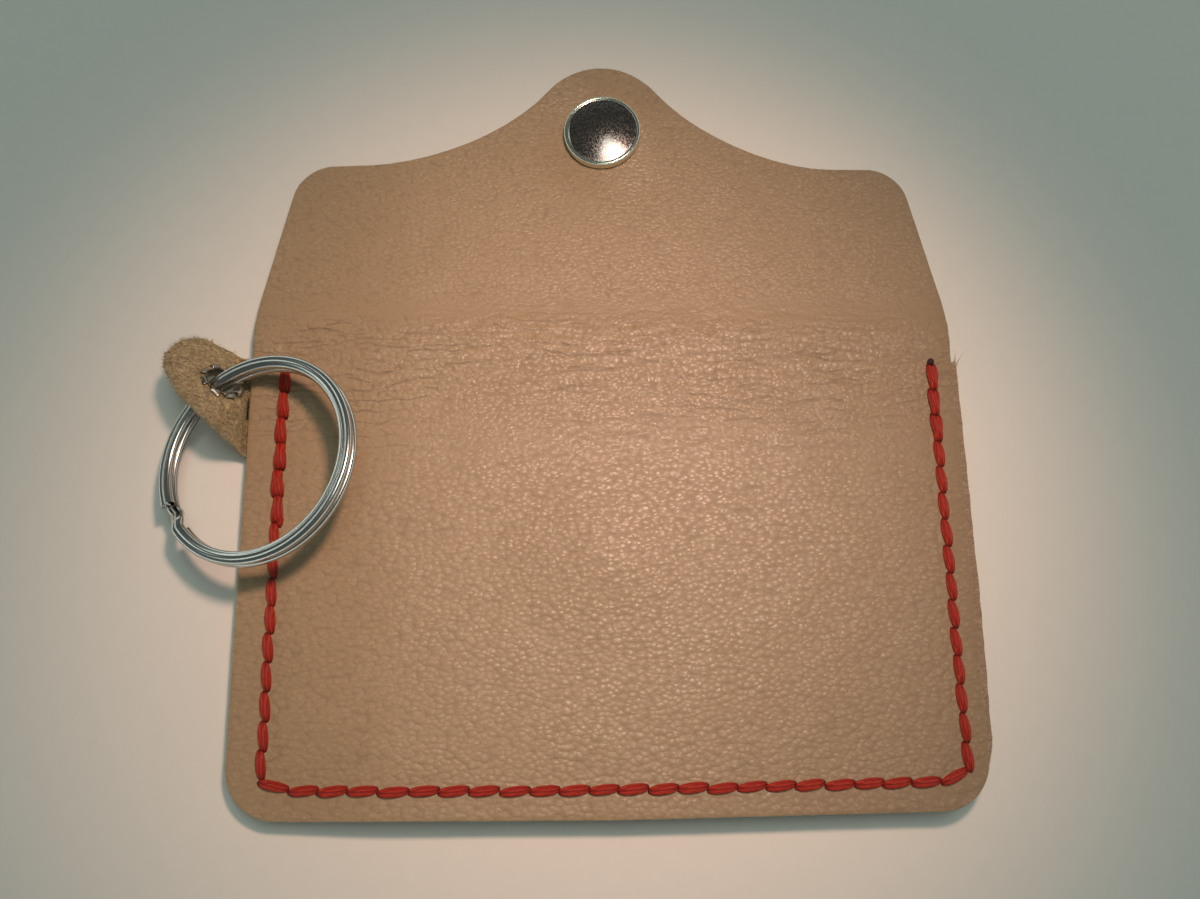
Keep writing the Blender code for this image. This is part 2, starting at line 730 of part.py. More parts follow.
bpy.context.view_layer.update()
graph = bpy.context.evaluated_depsgraph_get()
places = []
for piece in wallet.objects:
    if piece.type == "EMPTY":
        continue
    shown = piece.evaluated_get(graph)
    places += [shown.matrix_world @ vertex.co for vertex in shown.to_mesh().vertices]
    shown.to_mesh_clear()
low = Vector([min(place[i] for place in places) for i in range(3)])
high = Vector([max(place[i] for place in places) for i in range(3)])
origin = Vector(((low.x + high.x) / 2, (low.y + high.y) / 2, low.z))
for piece in [*wallet.objects, *cutters.objects]:
    if piece.parent is None:
        piece.location -= origin
bpy.context.view_layer.update()
for pivot, direction in ((flap_fold, (-1, 0, 0)), (tab_bend, (0, -1, 0)), (ring_swing, swing_axis)):
    place = " ".join(f"{value:.6f}" for value in pivot.matrix_world.translation)
    print(pivot.name, "at", place, "axis", " ".join(f"{value:.5f}" for value in direction))
print("wallet's bottom edge, middle:", " ".join(f"{-value:.6f}" for value in origin))
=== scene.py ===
"""The look of the keychain card wallet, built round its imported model.

The file follows the wallet as it is made: the hide of back panel and flap, the pocket panel, the
key tab, the thread, the snap, the eyelet and the split ring, and then the table and the lights.
"""

import math
import random

import bmesh
import bpy
from mathutils import Euler, Matrix, Vector, noise


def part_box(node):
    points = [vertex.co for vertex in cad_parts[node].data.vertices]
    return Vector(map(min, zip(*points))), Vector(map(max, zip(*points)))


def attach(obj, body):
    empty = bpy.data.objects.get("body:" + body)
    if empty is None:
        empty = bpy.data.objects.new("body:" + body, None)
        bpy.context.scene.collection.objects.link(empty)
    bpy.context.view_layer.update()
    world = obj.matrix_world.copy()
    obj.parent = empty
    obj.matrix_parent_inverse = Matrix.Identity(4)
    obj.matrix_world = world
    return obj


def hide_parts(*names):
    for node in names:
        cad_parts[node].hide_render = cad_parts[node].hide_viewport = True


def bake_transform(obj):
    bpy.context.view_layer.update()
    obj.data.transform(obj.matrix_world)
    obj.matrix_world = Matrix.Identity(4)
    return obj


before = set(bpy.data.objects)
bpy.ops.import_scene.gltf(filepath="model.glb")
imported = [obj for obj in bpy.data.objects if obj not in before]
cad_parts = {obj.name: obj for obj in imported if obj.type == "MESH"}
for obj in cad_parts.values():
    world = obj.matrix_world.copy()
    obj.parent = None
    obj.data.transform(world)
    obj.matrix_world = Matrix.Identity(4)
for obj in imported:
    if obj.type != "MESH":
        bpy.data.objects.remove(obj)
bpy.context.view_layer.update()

# Camera: close above the wallet, as a pocket camera held over it
# It looks down from the bottom edge's side, with a little tilt.

MM = 0.001
LENS = 35.295
CAMERA_TILT = math.radians(15.23)
CAMERA_LEAN = math.radians(-2.955)
panel_low, panel_high = (Vector(corner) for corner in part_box("back_panel"))
half_width = (panel_high.x - panel_low.x) / 2
wallet_x = (panel_high.x + panel_low.x) / 2
wallet_y = panel_low.y
fold_y = panel_high.y - panel_low.y


def on_wallet(x, y, z=0.0):
    """A point given from the middle of the bottom edge, in metres."""
    return Vector((wallet_x + x, wallet_y + y, z))


camera_data = bpy.data.cameras.new("camera")
camera_data.lens = LENS
camera_data.sensor_width = 36
camera_data.clip_start = 0.01
camera = bpy.data.objects.new("camera", camera_data)
camera_place = on_wallet(-9.645 * MM, 6.49 * MM, 166.24 * MM)
camera_turn = Matrix.Rotation(CAMERA_TILT, 4, "X") @ Matrix.Rotation(CAMERA_LEAN, 4, "Y")
camera.matrix_world = Matrix.Translation(camera_place) @ camera_turn
bpy.context.scene.collection.objects.link(camera)
bpy.context.scene.camera = camera


# Hide: back panel and flap are one piece of soft, pebbled leather about a millimetre thick
# It was cut by hand, with its grain side out, and it is creased where the flap has been folded.


def feed(tree, node, inputs):
    """Links the inputs that are sockets, and sets the others."""
    for key, value in inputs.items():
        socket = node.inputs[key]
        if isinstance(value, bpy.types.NodeSocket):
            tree.links.new(value, socket)
        else:
            socket.default_value = value


def shade(tree, kind, inputs=None, **settings):
    """Adds a shader node with these settings and inputs."""
    made = tree.nodes.new("ShaderNode" + kind)
    for name, value in settings.items():
        setattr(made, name, value)
    feed(tree, made, inputs or {})
    return made


def maths(tree, operation, first, second=0.5):
    return shade(tree, "Math", {0: first, 1: second}, operation=operation).outputs[0]


def times(tree, first, second):
    return maths(tree, "MULTIPLY", first, second)


def vector_maths(tree, operation, first, second):
    return shade(tree, "VectorMath", {0: first, 1: second}, operation=operation).outputs[0]


def stretched(tree, vector, scale):
    return vector_maths(tree, "MULTIPLY", vector, scale)


def scaled(tree, vector, scale):
    return shade(tree, "VectorMath", {0: vector, "Scale": scale}, operation="SCALE").outputs[0]


def distance_from(tree, vector):
    return shade(tree, "VectorMath", {0: vector}, operation="LENGTH").outputs["Value"]


def along_axis(tree, vector, axis):
    return shade(tree, "SeparateXYZ", {0: vector}).outputs[axis]


def in_millimetres(tree):
    """The piece's own coordinates, in millimetres."""
    return scaled(tree, shade(tree, "TexCoord").outputs["Object"], 1 / MM)


def ramp(tree, value, low, high, to_low=0.0, to_high=1.0):
    """A smooth step between two values, which may also fall."""
    return shade(
        tree,
        "MapRange",
        {"Value": value, "From Min": low, "From Max": high, "To Min": to_low, "To Max": to_high},
        interpolation_type="SMOOTHSTEP",
    ).outputs["Result"]


def between_values(tree, share, first, second):
    return shade(tree, "Mix", {0: share, 2: first, 3: second}, data_type="FLOAT").outputs[0]


def tint(tree, share, first, second):
    """A mix of two colours, each a socket or its red, green and blue."""
    sides = [c if isinstance(c, bpy.types.NodeSocket) else (*c, 1) for c in (first, second)]
    return shade(tree, "Mix", {0: share, 6: sides[0], 7: sides[1]}, data_type="RGBA").outputs[2]


def clouds(tree, vector, scale, detail, **more):
    """Noise between 0 and 1, with more of the node's inputs by their names."""
    values = {"Vector": vector, "Scale": scale, "Detail": detail, **more}
    return shade(tree, "TexNoise", values).outputs["Fac"]


def new_material(name):
    material = bpy.data.materials.new(name)
    material.use_nodes = True
    tree = material.node_tree
    return material, tree, tree.nodes["Principled BSDF"]


def relief(tree, height, depth, strength=1.0):
    """A bumped normal from a height between 0 and 1 and its depth in metres."""
    values = {"Height": height, "Strength": strength, "Distance": depth}
    return shade(tree, "Bump", values).outputs[0]


def warped(tree, vector, scale, reach):
    """Coordinates pushed about by noise, so that a pattern on them looks grown."""
    values = {"Vector": vector, "Scale": scale, "Detail": 2.0}
    cloud = shade(tree, "TexNoise", values).outputs["Color"]
    centred = vector_maths(tree, "SUBTRACT", cloud, (0.5, 0.5, 0.5))
    return vector_maths(tree, "ADD", vector, scaled(tree, centred, reach))


def cells(tree, vector):
    """Rounded mounds, 1 at their tops and about 0 between them."""
    apart = shade(tree, "TexVoronoi", {"Vector": vector, "Scale": 1.0}).outputs["Distance"]
    return maths(tree, "SUBTRACT", 1.0, times(tree, times(tree, apart, apart), 1.7))


def pebbles(tree, place, soft, on_pocket, near_fold):
    """The mounds of the grain: small on the flap, even below it and drawn out near the fold."""
    even = cells(tree, stretched(tree, warped(tree, place, 0.7, 0.6), (1.05, 1.5, 1.0)))
    drawn = cells(tree, stretched(tree, warped(tree, soft, 0.7, 0.4), (1.35, 1.7, 1.0)))
    small = cells(tree, stretched(tree, warped(tree, soft, 0.7, 0.4), (1.3, 2.0, 1.0)))
    return between_values(tree, near_fold, between_values(tree, on_pocket, small, even), drawn)


def creases(tree, place, spacing, slant, away):
    """Long thin wrinkles along x, about a spacing apart, that come and go, 1 on the lines."""
    moved = vector_maths(tree, "ADD", place, (away, away, 0))
    bent = warped(tree, warped(tree, moved, 0.1, 4.5), 0.6, 0.8)
    slanted = times(tree, along_axis(tree, bent, "X"), slant)
    across = maths(tree, "ADD", along_axis(tree, bent, "Y"), slanted)
    apart = maths(tree, "PINGPONG", across, spacing / 2)
    shown = clouds(tree, stretched(tree, moved, (0.11, 0.45, 1.0)), 1.0, 2.0)
    return times(tree, ramp(tree, apart, 0.24, 0.03), ramp(tree, shown, 0.44, 0.56))


def fold_grooves(tree, place, soft, mound, near_fold, patches):
    """Creases and open valleys between the pebbles, deep near the fold and faint elsewhere."""
    streaks = clouds(tree, stretched(tree, soft, (0.13, 0.75, 1.0)), 1.0, 3.0)
    valleys = times(tree, ramp(tree, mound, 0.5, 0.05), ramp(tree, streaks, 0.47, 0.6))
    close = creases(tree, place, 1.7, 0.06, 0.0)
    wide = creases(tree, place, 2.5, -0.09, 40.0)
    folds = maths(tree, "MAXIMUM", close, wide)
    creased = maths(tree, "MAXIMUM", times(tree, valleys, 0.4), folds)
    share = maths(tree, "ADD", times(tree, near_fold, 0.85), 0.08)
    return times(tree, creased, times(tree, share, ramp(tree, patches, 0.35, 0.65, 0.3, 1.0)))


def stud_wrinkles(tree, soft):
    """Faint uneven arcs round the bump that the snap's stud makes in the leather."""
    from_stud = vector_maths(tree, "SUBTRACT", soft, (stud_mid.x / MM, stud_mid.y / MM, 0))
    values = {
        "Vector": from_stud,
        "Scale": 0.25,
        "Distortion": 6.0,
        "Detail": 1.5,
        "Detail Scale": 1.7,
        "Detail Roughness": 0.5,
    }
    waves = shade(tree, "TexWave", values, wave_type="RINGS", rings_direction="Z").outputs["Fac"]
    radius = distance_from(tree, from_stud)
    arcs = times(tree, ramp(tree, radius, 19.0, 11.0), ramp(tree, radius, 3.0, 8.0))
    return times(tree, ramp(tree, waves, 0.5, 0.0), times(tree, arcs, 0.16))


def grain_leather():
    """Finished leather: pebbles with glossy tops, and creases at the fold and round the stud."""
    # The leather's own tans vary at random. The colour for the right side and the valley and crease
    # browns are painted shade, and the cream is a painted highlight on the pebble tops.
    tan, warm_tan, right_shade_tan = (0.338, 0.236, 0.135), (0.372, 0.261, 0.15), (0.295, 0.206, 0.121)
    valley_shade_brown, glint_cream = (0.2, 0.125, 0.072), (0.52, 0.385, 0.245)
    crease_shade_brown = (0.15, 0.094, 0.054)
    pebble_height, groove_depth, fine_height, grain_depth = 0.33, 0.3, 0.05, 0.26 * MM
    material, tree, shader = new_material("grain_leather")
    place = in_millimetres(tree)
    soft = warped(tree, place, 0.2, 2.2)
    level = along_axis(tree, place, "Y")
    fold_level = (wallet_y + fold_y) / MM
    on_pocket = ramp(tree, level, fold_level + 7, fold_level)
    near_fold = times(tree, ramp(tree, level, fold_level - 24, fold_level - 7), on_pocket)
    mound = pebbles(tree, place, soft, on_pocket, near_fold)
    patches = clouds(tree, place, 0.09, 3.0)
    uneven = ramp(tree, clouds(tree, place, 0.5, 2.0), 0.36, 0.64, 0.72, 1.0)
    stands = times(tree, uneven, ramp(tree, on_pocket, 0.0, 1.0, 0.85, 1.0))
    to_tip = ramp(tree, level, fold_level + 12, fold_level + 32, 1.0, 1.25)
    mounds = times(tree, mound, times(tree, stands, to_tip))
    groove = fold_grooves(tree, place, soft, mound, near_fold, patches)
    groove = maths(tree, "ADD", groove, stud_wrinkles(tree, soft))
    fine = clouds(tree, stretched(tree, place, (0.8, 1.3, 1.0)), 3.0, 2.0)
    raised, cut = times(tree, mounds, pebble_height), times(tree, groove, groove_depth)
    height = maths(tree, "SUBTRACT", raised, cut)
    height = maths(tree, "ADD", height, times(tree, fine, fine_height))
    # Painted shade: the leather's colour darkens towards the right side of the wallet.
    right_side_shade = ramp(tree, along_axis(tree, place, "X"), wallet_x / MM - 25, wallet_x / MM + 52)
    colour = tint(tree, right_side_shade, tint(tree, patches, tan, warm_tan), right_shade_tan)
    # Painted shade: the colour darkens in the valleys between the pebbles.
    colour = tint(tree, times(tree, ramp(tree, mound, 0.5, -0.25), 0.24), colour, valley_shade_brown)
    # Painted highlight: the tops of the pebbles are lightened into small glints.
    colour = tint(tree, times(tree, ramp(tree, mound, 0.8, 1.0), 0.36), colour, glint_cream)
    # Painted shade: the colour darkens in the creases and in the valleys near the fold and round
    # the stud.
    colour = tint(tree, times(tree, groove, 0.5), colour, crease_shade_brown)
    finish = {
        "Base Color": colour,
        "Roughness": ramp(tree, mounds, 0.2, 0.8, 0.44, 0.26),
        "Specular IOR Level": 0.17,
        "Coat Weight": 0.55,
        "Coat Roughness": 0.5,
        "Normal": relief(tree, height, grain_depth),
    }
    feed(tree, shader, finish)
    return material


def flesh_leather(name, light, dark, depth):
    """The fibrous side of leather, or its cut edge."""
    material, tree, shader = new_material(name)
    grown = warped(tree, in_millimetres(tree), 0.8, 1.4)
    fibre = clouds(tree, stretched(tree, grown, (0.9, 3.2, 2.0)), 1.0, 5.0, Roughness=0.7)
    speck = clouds(tree, grown, 5.0, 3.0)
    mixed = maths(tree, "ADD", times(tree, fibre, 0.65), times(tree, speck, 0.35))
    contrast = ramp(tree, mixed, 0.36, 0.62)
    finish = {
        "Base Color": tint(tree, contrast, dark, light),
        "Roughness": 0.92,
        "Sheen Weight": 0.15,
        "Normal": relief(tree, contrast, depth, 0.8),
    }
    feed(tree, shader, finish)
    return material


def climb(edge):
    return abs(edge.verts[0].co.z - edge.verts[1].co.z)


def cut_sheet(corners, thickness, rounding):
    """A flat bmesh plate from z = 0 up, with an outline of (x, y, radius) and rounded edges."""
    sheet = bmesh.new()
    points = [sheet.verts.new((x, y, 0)) for x, y, radius in corners]
    sheet.faces.new(points)
    for point, (x, y, radius) in zip(points, corners):
        if radius == 0:
            continue
        sides = [(edge.other_vert(point).co - point.co).normalized() for edge in point.link_edges]
        turn = math.pi - sides[0].angle(sides[1])
        bmesh.ops.bevel(
            sheet,
            geom=[point],
            offset=radius * math.tan(turn / 2),
            segments=max(3, round(turn / math.radians(5))),
            profile=0.5,
            affect="VERTICES",
            material=-1,
        )
    bmesh.ops.recalc_face_normals(sheet, faces=sheet.faces)
    for face in sheet.faces:
        if face.normal.z > 0:
            face.normal_flip()
    raised = bmesh.ops.extrude_face_region(sheet, geom=sheet.faces[:], use_keep_orig=True)
    upper = [item for item in raised["geom"] if isinstance(item, bmesh.types.BMVert)]
    bmesh.ops.translate(sheet, verts=upper, vec=(0, 0, thickness))
    bmesh.ops.recalc_face_normals(sheet, faces=sheet.faces)
    rims = [edge for edge in sheet.edges if climb(edge) < 1e-7]
    bmesh.ops.bevel(
        sheet, geom=rims, offset=rounding, segments=2, profile=0.5, affect="EDGES", material=-1
    )
    return sheet


def grid_cut(sheet, xs, ys):
    """Cuts a bmesh along lines of constant x and of constant y."""
    for lines, normal in ((xs, Vector((1, 0, 0))), (ys, Vector((0, 1, 0)))):
        for line in lines:
            bmesh.ops.bisect_plane(
                sheet,
                geom=[*sheet.verts, *sheet.edges, *sheet.faces],
                dist=1e-7,
                plane_co=normal * line,
                plane_no=normal,
            )


def steps(low, high, size):
    """Even values between two limits, about a size apart, without the limits."""
    count = max(1, round((high - low) / size))
    return [low + (high - low) * i / count for i in range(1, count)]


def as_mesh(shape, name):
    """A mesh of this name from a bmesh, which is freed."""
    mesh = bpy.data.meshes.new(name)
    shape.to_mesh(mesh)
    shape.free()
    return mesh


def finer(sheet, name):
    """The sheet's mesh with each face split evenly into four, twice."""
    stand = bpy.data.objects.new(name + "_rough", as_mesh(sheet, name + "_rough"))
    bpy.context.scene.collection.objects.link(stand)
    split = stand.modifiers.new("split", "SUBSURF")
    split.subdivision_type = "SIMPLE"
    split.levels = split.render_levels = 2
    graph = bpy.context.evaluated_depsgraph_get()
    mesh = bpy.data.meshes.new_from_object(stand.evaluated_get(graph))
    bpy.data.objects.remove(stand)
    mesh.name = name
    return mesh


def leather_faces(mesh, grain_up):
    """Gives the grain side, the flesh side and the cut edges their own finishes."""
    up = 0 if grain_up else 1
    for face in mesh.polygons:
        lean = face.normal.z
        face.material_index = up if lean > 0.75 else 1 - up if lean < -0.75 else 2
        face.use_smooth = True


def piece(name, mesh, materials):
    for material in materials:
        mesh.materials.append(material)
    made = bpy.data.objects.new(name, mesh)
    bpy.context.scene.collection.objects.link(made)
    return made


def drawn_faces(faces, count, dice):
    """Randomly drawn faces, from an order by their places that is the same in each run."""
    ordered = sorted(faces, key=lambda face: [round(value / (0.001 * MM)) for value in face.center])
    return dice.sample(ordered, count)


def fibre_roots(faces, count, dice, lift=0.0):
    """Places on randomly drawn faces, each with the way that a fibre leaves it."""
    upwards = Vector((0, 0, lift))
    return [(face.center.copy(), face.normal + upwards) for face in drawn_faces(faces, count, dice)]


def loose_fibres(mesh, roots, length, width, dice):
    """Adds thin curved hairs to a mesh of leather, each from a root of (point, direction)."""
    strand = bmesh.new()
    bmesh.ops.create_cone(strand, cap_ends=False, segments=3, radius1=1, radius2=0.25, depth=2)
    sides = [edge for edge in strand.edges if climb(edge) > 1]
    bmesh.ops.subdivide_edges(strand, edges=sides, cuts=3)
    template = as_mesh(strand, "fibre")
    whole = bmesh.new()
    whole.from_mesh(mesh)
    for point, direction in roots:
        size = length * dice.uniform(0.5, 1.3)
        sway = Vector([dice.uniform(-1, 1) for _ in range(3)]) * 0.45
        turn = direction.to_track_quat("Z", "Y").to_matrix()
        hair = template.copy()
        for vertex in hair.vertices:
            up = vertex.co.z / 2 + 0.5
            thin = width * (1 - 0.6 * up)
            straight = Vector((vertex.co.x * thin, vertex.co.y * thin, up * size))
            vertex.co = point + turn @ (straight + sway * size * up * up)
        whole.from_mesh(hair)
        bpy.data.meshes.remove(hair)
    for face in whole.faces[len(mesh.polygons):]:
        face.material_index = 2
    whole.to_mesh(mesh)
    whole.free()
    bpy.data.meshes.remove(template)


def smooth(share):
    """A smooth step from 0 to 1."""
    share = min(max(share, 0), 1)
    return share * share * (3 - 2 * share)


def middle_of(box):
    return (Vector(box[0]) + Vector(box[1])) / 2


HIDE_THICKNESS = panel_high.z - panel_low.z
HIDE_TOP = panel_high.z
EDGE_ROUND = 0.16 * MM
EDGE_BAND = 1.5 * MM
LEFT_DROOP, LEFT_BAND = 1.6 * MM, 24 * MM
TIP_SHORTER = 0.8 * MM
CAP_LEAN = 0.1
snap_mid = middle_of(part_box("snap_cap"))
stud_mid = middle_of(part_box("snap_stud"))
flap_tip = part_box("flap")[1][1] - wallet_y - TIP_SHORTER
shoulder_x = half_width - 5.6 * MM
shoulder_y = fold_y + 27.3 * MM
bell_angle = math.radians(51)
tip_radius = 11.1 * MM
apex_y = flap_tip - tip_radius + tip_radius / math.cos(bell_angle)
bell_foot = (apex_y - shoulder_y) / math.tan(bell_angle)
right_side = [
    (half_width, 0.5 * MM, 7 * MM),
    (half_width, fold_y + 3.1 * MM, 22 * MM),
    (shoulder_x, shoulder_y, 6 * MM),
    (bell_foot, shoulder_y, 34 * MM),
]
hide_corners = [
    (0, 0, 0),
    *right_side,
    (0, apex_y, tip_radius * 0.98),
    *((-x, y, radius) for x, y, radius in reversed(right_side)),
]


def droop(x):
    """How far the soft left side hangs below its flat height, as it bends down to the table."""
    return LEFT_DROOP * smooth(1 - (x + half_width) / LEFT_BAND)


def hide_swell(x, y):
    """How far the hide stands over its flat height, at (x, y) from the bottom edge's middle."""
    stud_bump, stud_reach = 0.6, 8.5
    fold_bulge, fold_reach = 0.25, 3.5
    crease_depth, crease_reach = 0.13, 4.0
    edge_dip, edge_reach = 0.25, 1.6
    point = Vector((x / MM, y / MM, 0))
    swell = 0.16 * noise.noise(point * 0.045) + 0.06 * noise.noise(point * 0.16)
    from_stud = math.hypot(x, y - (stud_mid.y - wallet_y)) / MM
    swell += stud_bump * math.exp(-((from_stud / stud_reach) ** 2))
    across_fold = (y - fold_y) / MM
    band = math.exp(-((max(across_fold, across_fold * -0.4) / crease_reach) ** 2))
    wavy_y = y / MM + 1.6 * noise.noise(point * 0.11 + Vector((7, 3, 0)))
    ridge = 1 - abs(noise.noise(Vector((x / MM * 0.13, wavy_y * 0.8, 4)))) * 4
    swell -= crease_depth * band * max(ridge, 0) ** 2
    swell += fold_bulge * math.exp(-((across_fold / fold_reach) ** 2))
    from_snap = math.hypot(x, y - (snap_mid.y - wallet_y)) / MM
    swell += CAP_LEAN * x / MM * math.exp(-((from_snap / 8.5) ** 4))
    to_side = (half_width - abs(x)) / MM
    swell -= edge_dip * math.exp(-to_side / edge_reach)
    return swell * MM - droop(x)


def near_edge(x):
    """1 at the left and right edges of the wallet, and 0 away from them."""
    return smooth(1 - (half_width - abs(x)) / EDGE_BAND)


WIDE_STEP = 2.7 * MM
FOLD_STEP = 1.1 * MM
fold_from, fold_to = fold_y - 9 * MM, fold_y + 5 * MM
along = [
    *steps(0, fold_from, WIDE_STEP),
    fold_from,
    *steps(fold_from, fold_to, FOLD_STEP),
    fold_to,
    *steps(fold_to, flap_tip, WIDE_STEP),
]
hide_sheet = cut_sheet(hide_corners, HIDE_THICKNESS, EDGE_ROUND)
grid_cut(hide_sheet, steps(-half_width, half_width, WIDE_STEP), along)
hide_mesh = finer(hide_sheet, "hide")
leather_faces(hide_mesh, grain_up=True)
for vertex in hide_mesh.vertices:
    x, y, z = vertex.co
    ragged = 0.10 * MM * noise.noise(Vector((x, y, 0)) / (2.2 * MM)) * near_edge(x)
    level = panel_low.z + z + hide_swell(x, y)
    vertex.co = on_wallet(x + math.copysign(ragged, x), y, level)
fray_dice = random.Random(4)
edge_faces = [face for face in hide_mesh.polygons if face.material_index == 2]
roots = fibre_roots(edge_faces, 420, fray_dice)
loose_fibres(hide_mesh, roots, 0.26 * MM, 0.022 * MM, fray_dice)
grain = grain_leather()
hide_flesh = flesh_leather("hide_flesh", (0.42, 0.29, 0.19), (0.25, 0.165, 0.10), 0.10 * MM)
hide_edge = flesh_leather("hide_edge", (0.52, 0.42, 0.25), (0.28, 0.205, 0.115), 0.08 * MM)
hide = piece("hide", hide_mesh, [grain, hide_flesh, hide_edge])
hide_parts("back_panel", "flap")
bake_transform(hide)


# Pocket panel: the same leather with its grain side out, so its rough side faces the cards
# It reaches past the back panel at the right, where the two were not trimmed together.

POCKET_STEP = 3.4 * MM
pocket_low, pocket_high = (Vector(corner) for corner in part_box("pocket_panel"))
pocket_top = pocket_high.y - wallet_y
pocket_right = pocket_high.x - wallet_x
pocket_corners = [
    (0, 0, 0),
    (pocket_right - 0.4 * MM, 0.5 * MM, 9.5 * MM),
    (pocket_right + 0.05 * MM, pocket_top * 0.42, 0),
    (pocket_right - 0.1 * MM, pocket_top, 0.6 * MM),
    (-half_width + 0.3 * MM, pocket_top, 0.8 * MM),
    (-half_width, 0.5 * MM, 7 * MM),
]
pocket_sheet = cut_sheet(pocket_corners, pocket_high.z - pocket_low.z, EDGE_ROUND)
pocket_columns = steps(-half_width, half_width, POCKET_STEP)
grid_cut(pocket_sheet, pocket_columns, steps(0, pocket_top, POCKET_STEP))
pocket_mesh = finer(pocket_sheet, "pocket")
leather_faces(pocket_mesh, grain_up=False)
for vertex in pocket_mesh.vertices:
    x, y, z = vertex.co
    ragged = 0.14 * MM * noise.noise(Vector((x, y, 5)) / (1.8 * MM))
    vertex.co = on_wallet(x + ragged * near_edge(x), y, pocket_low.z + z - droop(x))
edge_faces = [face for face in pocket_mesh.polygons if face.material_index == 2]
right_edge = [face for face in edge_faces if face.center.x > wallet_x]
roots = fibre_roots(right_edge, 260, fray_dice)
loose_fibres(pocket_mesh, roots, 0.3 * MM, 0.025 * MM, fray_dice)
roots = []
for x, y, way in (
    (0.35, -0.3, (0.25, 1, 0.1)),
    (0.5, -0.2, (0.05, 1, 0.25)),
    (0.15, -0.5, (0.4, 1, 0.0)),
):
    corner = on_wallet(pocket_right - x * MM, pocket_top + y * MM, pocket_high.z)
    roots.append((corner, Vector(way)))
loose_fibres(pocket_mesh, roots, 2.2 * MM, 0.075 * MM, fray_dice)
pocket = piece("pocket", pocket_mesh, [grain, hide_flesh, hide_edge])
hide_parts("pocket_panel")
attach(pocket, "pouch")


# Key tab: a tongue of rough split leather, sewn between the panels in the left seam
# It twists up out of the seam, because the ring through its eyelet leans on the wallet.

TAB_TWIST = 0.65
TAB_THICKNESS = 1.1 * MM
TAB_SKIVED = 0.5 * MM
TAB_INSIDE = 7.9 * MM
TAB_IN_SEAM = 14.4 * MM
TAB_STEP = 0.8 * MM
TAB_HOLE = 2.4 * MM
FRAY_SEED = 5
noise.seed_set(FRAY_SEED)
tab_start = half_width + 0.5 * MM
root_z = sum(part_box("key_tab_root")[i][2] for i in (0, 1)) / 2
eyelet_centre = on_wallet(-half_width - 3.58 * MM, pocket_top - 4.74 * MM, HIDE_TOP + 0.57 * MM)
eyelet_x, eyelet_y = eyelet_centre.x - wallet_x, eyelet_centre.y - wallet_y
eyelet_reach = -eyelet_x - tab_start
tab_climb = (eyelet_centre.z - root_z) / eyelet_reach


def tab_height(x, y):
    """The height of the tab's middle layer, which is flat round the eyelet."""
    out = -tab_start - x
    if out <= 0:
        return root_z - droop(x)
    plane = root_z + tab_climb * out + TAB_TWIST * (eyelet_y - y)
    free = root_z + tab_climb * out + TAB_TWIST * smooth(out / eyelet_reach) * (eyelet_y - y)
    apart = math.hypot(x - eyelet_x, y - eyelet_y) / MM
    flatness = (1 - smooth((apart - 3.4) / 2.5)) * smooth(out / eyelet_reach * 4)
    seam_droop = droop(-half_width) * (1 - smooth(out / eyelet_reach))
    return free + (plane - free) * flatness - seam_droop


def tab_normal(x, y):
    step = 0.02 * MM
    slope_x = (tab_height(x + step, y) - tab_height(x - step, y)) / (2 * step)
    slope_y = (tab_height(x, y + step) - tab_height(x, y - step)) / (2 * step)
    return Vector((-slope_x, -slope_y, 1)).normalized()


def open_edges(shape):
    return [edge for edge in shape.edges if len(edge.link_faces) == 1]


eyelet_axis = tab_normal(eyelet_x, eyelet_y)
tab_corners = [
    (-tab_start + TAB_INSIDE, pocket_top - TAB_IN_SEAM, 1.9 * MM),
    (-tab_start + TAB_INSIDE, pocket_top, 1.9 * MM),
    (-tab_start, pocket_top, 0),
    (-half_width - 9.2 * MM, pocket_top + 3.5 * MM, 3.2 * MM),
    (-half_width - 11.1 * MM, pocket_top - 2.0 * MM, 3.8 * MM),
    (-half_width - 8.2 * MM, pocket_top - 7.2 * MM, 10 * MM),
    (-tab_start, pocket_top - TAB_IN_SEAM, 0),
]
tab_sheet = cut_sheet(tab_corners, 1.0 * MM, 0.2 * MM)
tab_columns = steps(-half_width - 11 * MM, -tab_start + TAB_INSIDE, TAB_STEP)
tab_rows = steps(pocket_top - TAB_IN_SEAM, pocket_top + 4 * MM, TAB_STEP)
grid_cut(tab_sheet, tab_columns, tab_rows)
tab_mesh = finer(tab_sheet, "key_tab_leather")
for face in tab_mesh.polygons:
    face.material_index = 0 if abs(face.normal.z) > 0.75 else 2
    face.use_smooth = True
for vertex in tab_mesh.vertices:
    x, y, z = vertex.co
    out = -tab_start - x
    thickness = TAB_SKIVED + (TAB_THICKNESS - TAB_SKIVED) * smooth(out / (2 * MM))
    layer = (z / MM - 0.5) * thickness
    place = Vector((x, y, tab_height(x, y))) + tab_normal(x, y) * layer
    rough_at = Vector((x, y, z)) / (0.45 * MM)
    fray = noise.noise_vector(rough_at) * 0.07 * MM + noise.noise_vector(rough_at * 0.3) * 0.10 * MM
    vertex.co = on_wallet(0, 0) + place + fray * smooth(out / (1 * MM))
tab_bm = bmesh.new()
tab_bm.from_mesh(tab_mesh)
punched = []
for face in tab_bm.faces:
    away = face.calc_center_median() - eyelet_centre
    if away.cross(eyelet_axis).length < TAB_HOLE and away.length < 4 * MM:
        punched.append(face)
bmesh.ops.delete(tab_bm, geom=punched, context="FACES")
bmesh.ops.bridge_loops(tab_bm, edges=open_edges(tab_bm))
bmesh.ops.recalc_face_normals(tab_bm, faces=tab_bm.faces)
tab_bm.to_mesh(tab_mesh)
tab_bm.free()
free_from = wallet_x - tab_start - 0.3 * MM
free_faces = [face for face in tab_mesh.polygons if face.center.x < free_from]
sides = [face for face in free_faces if face.material_index == 2]
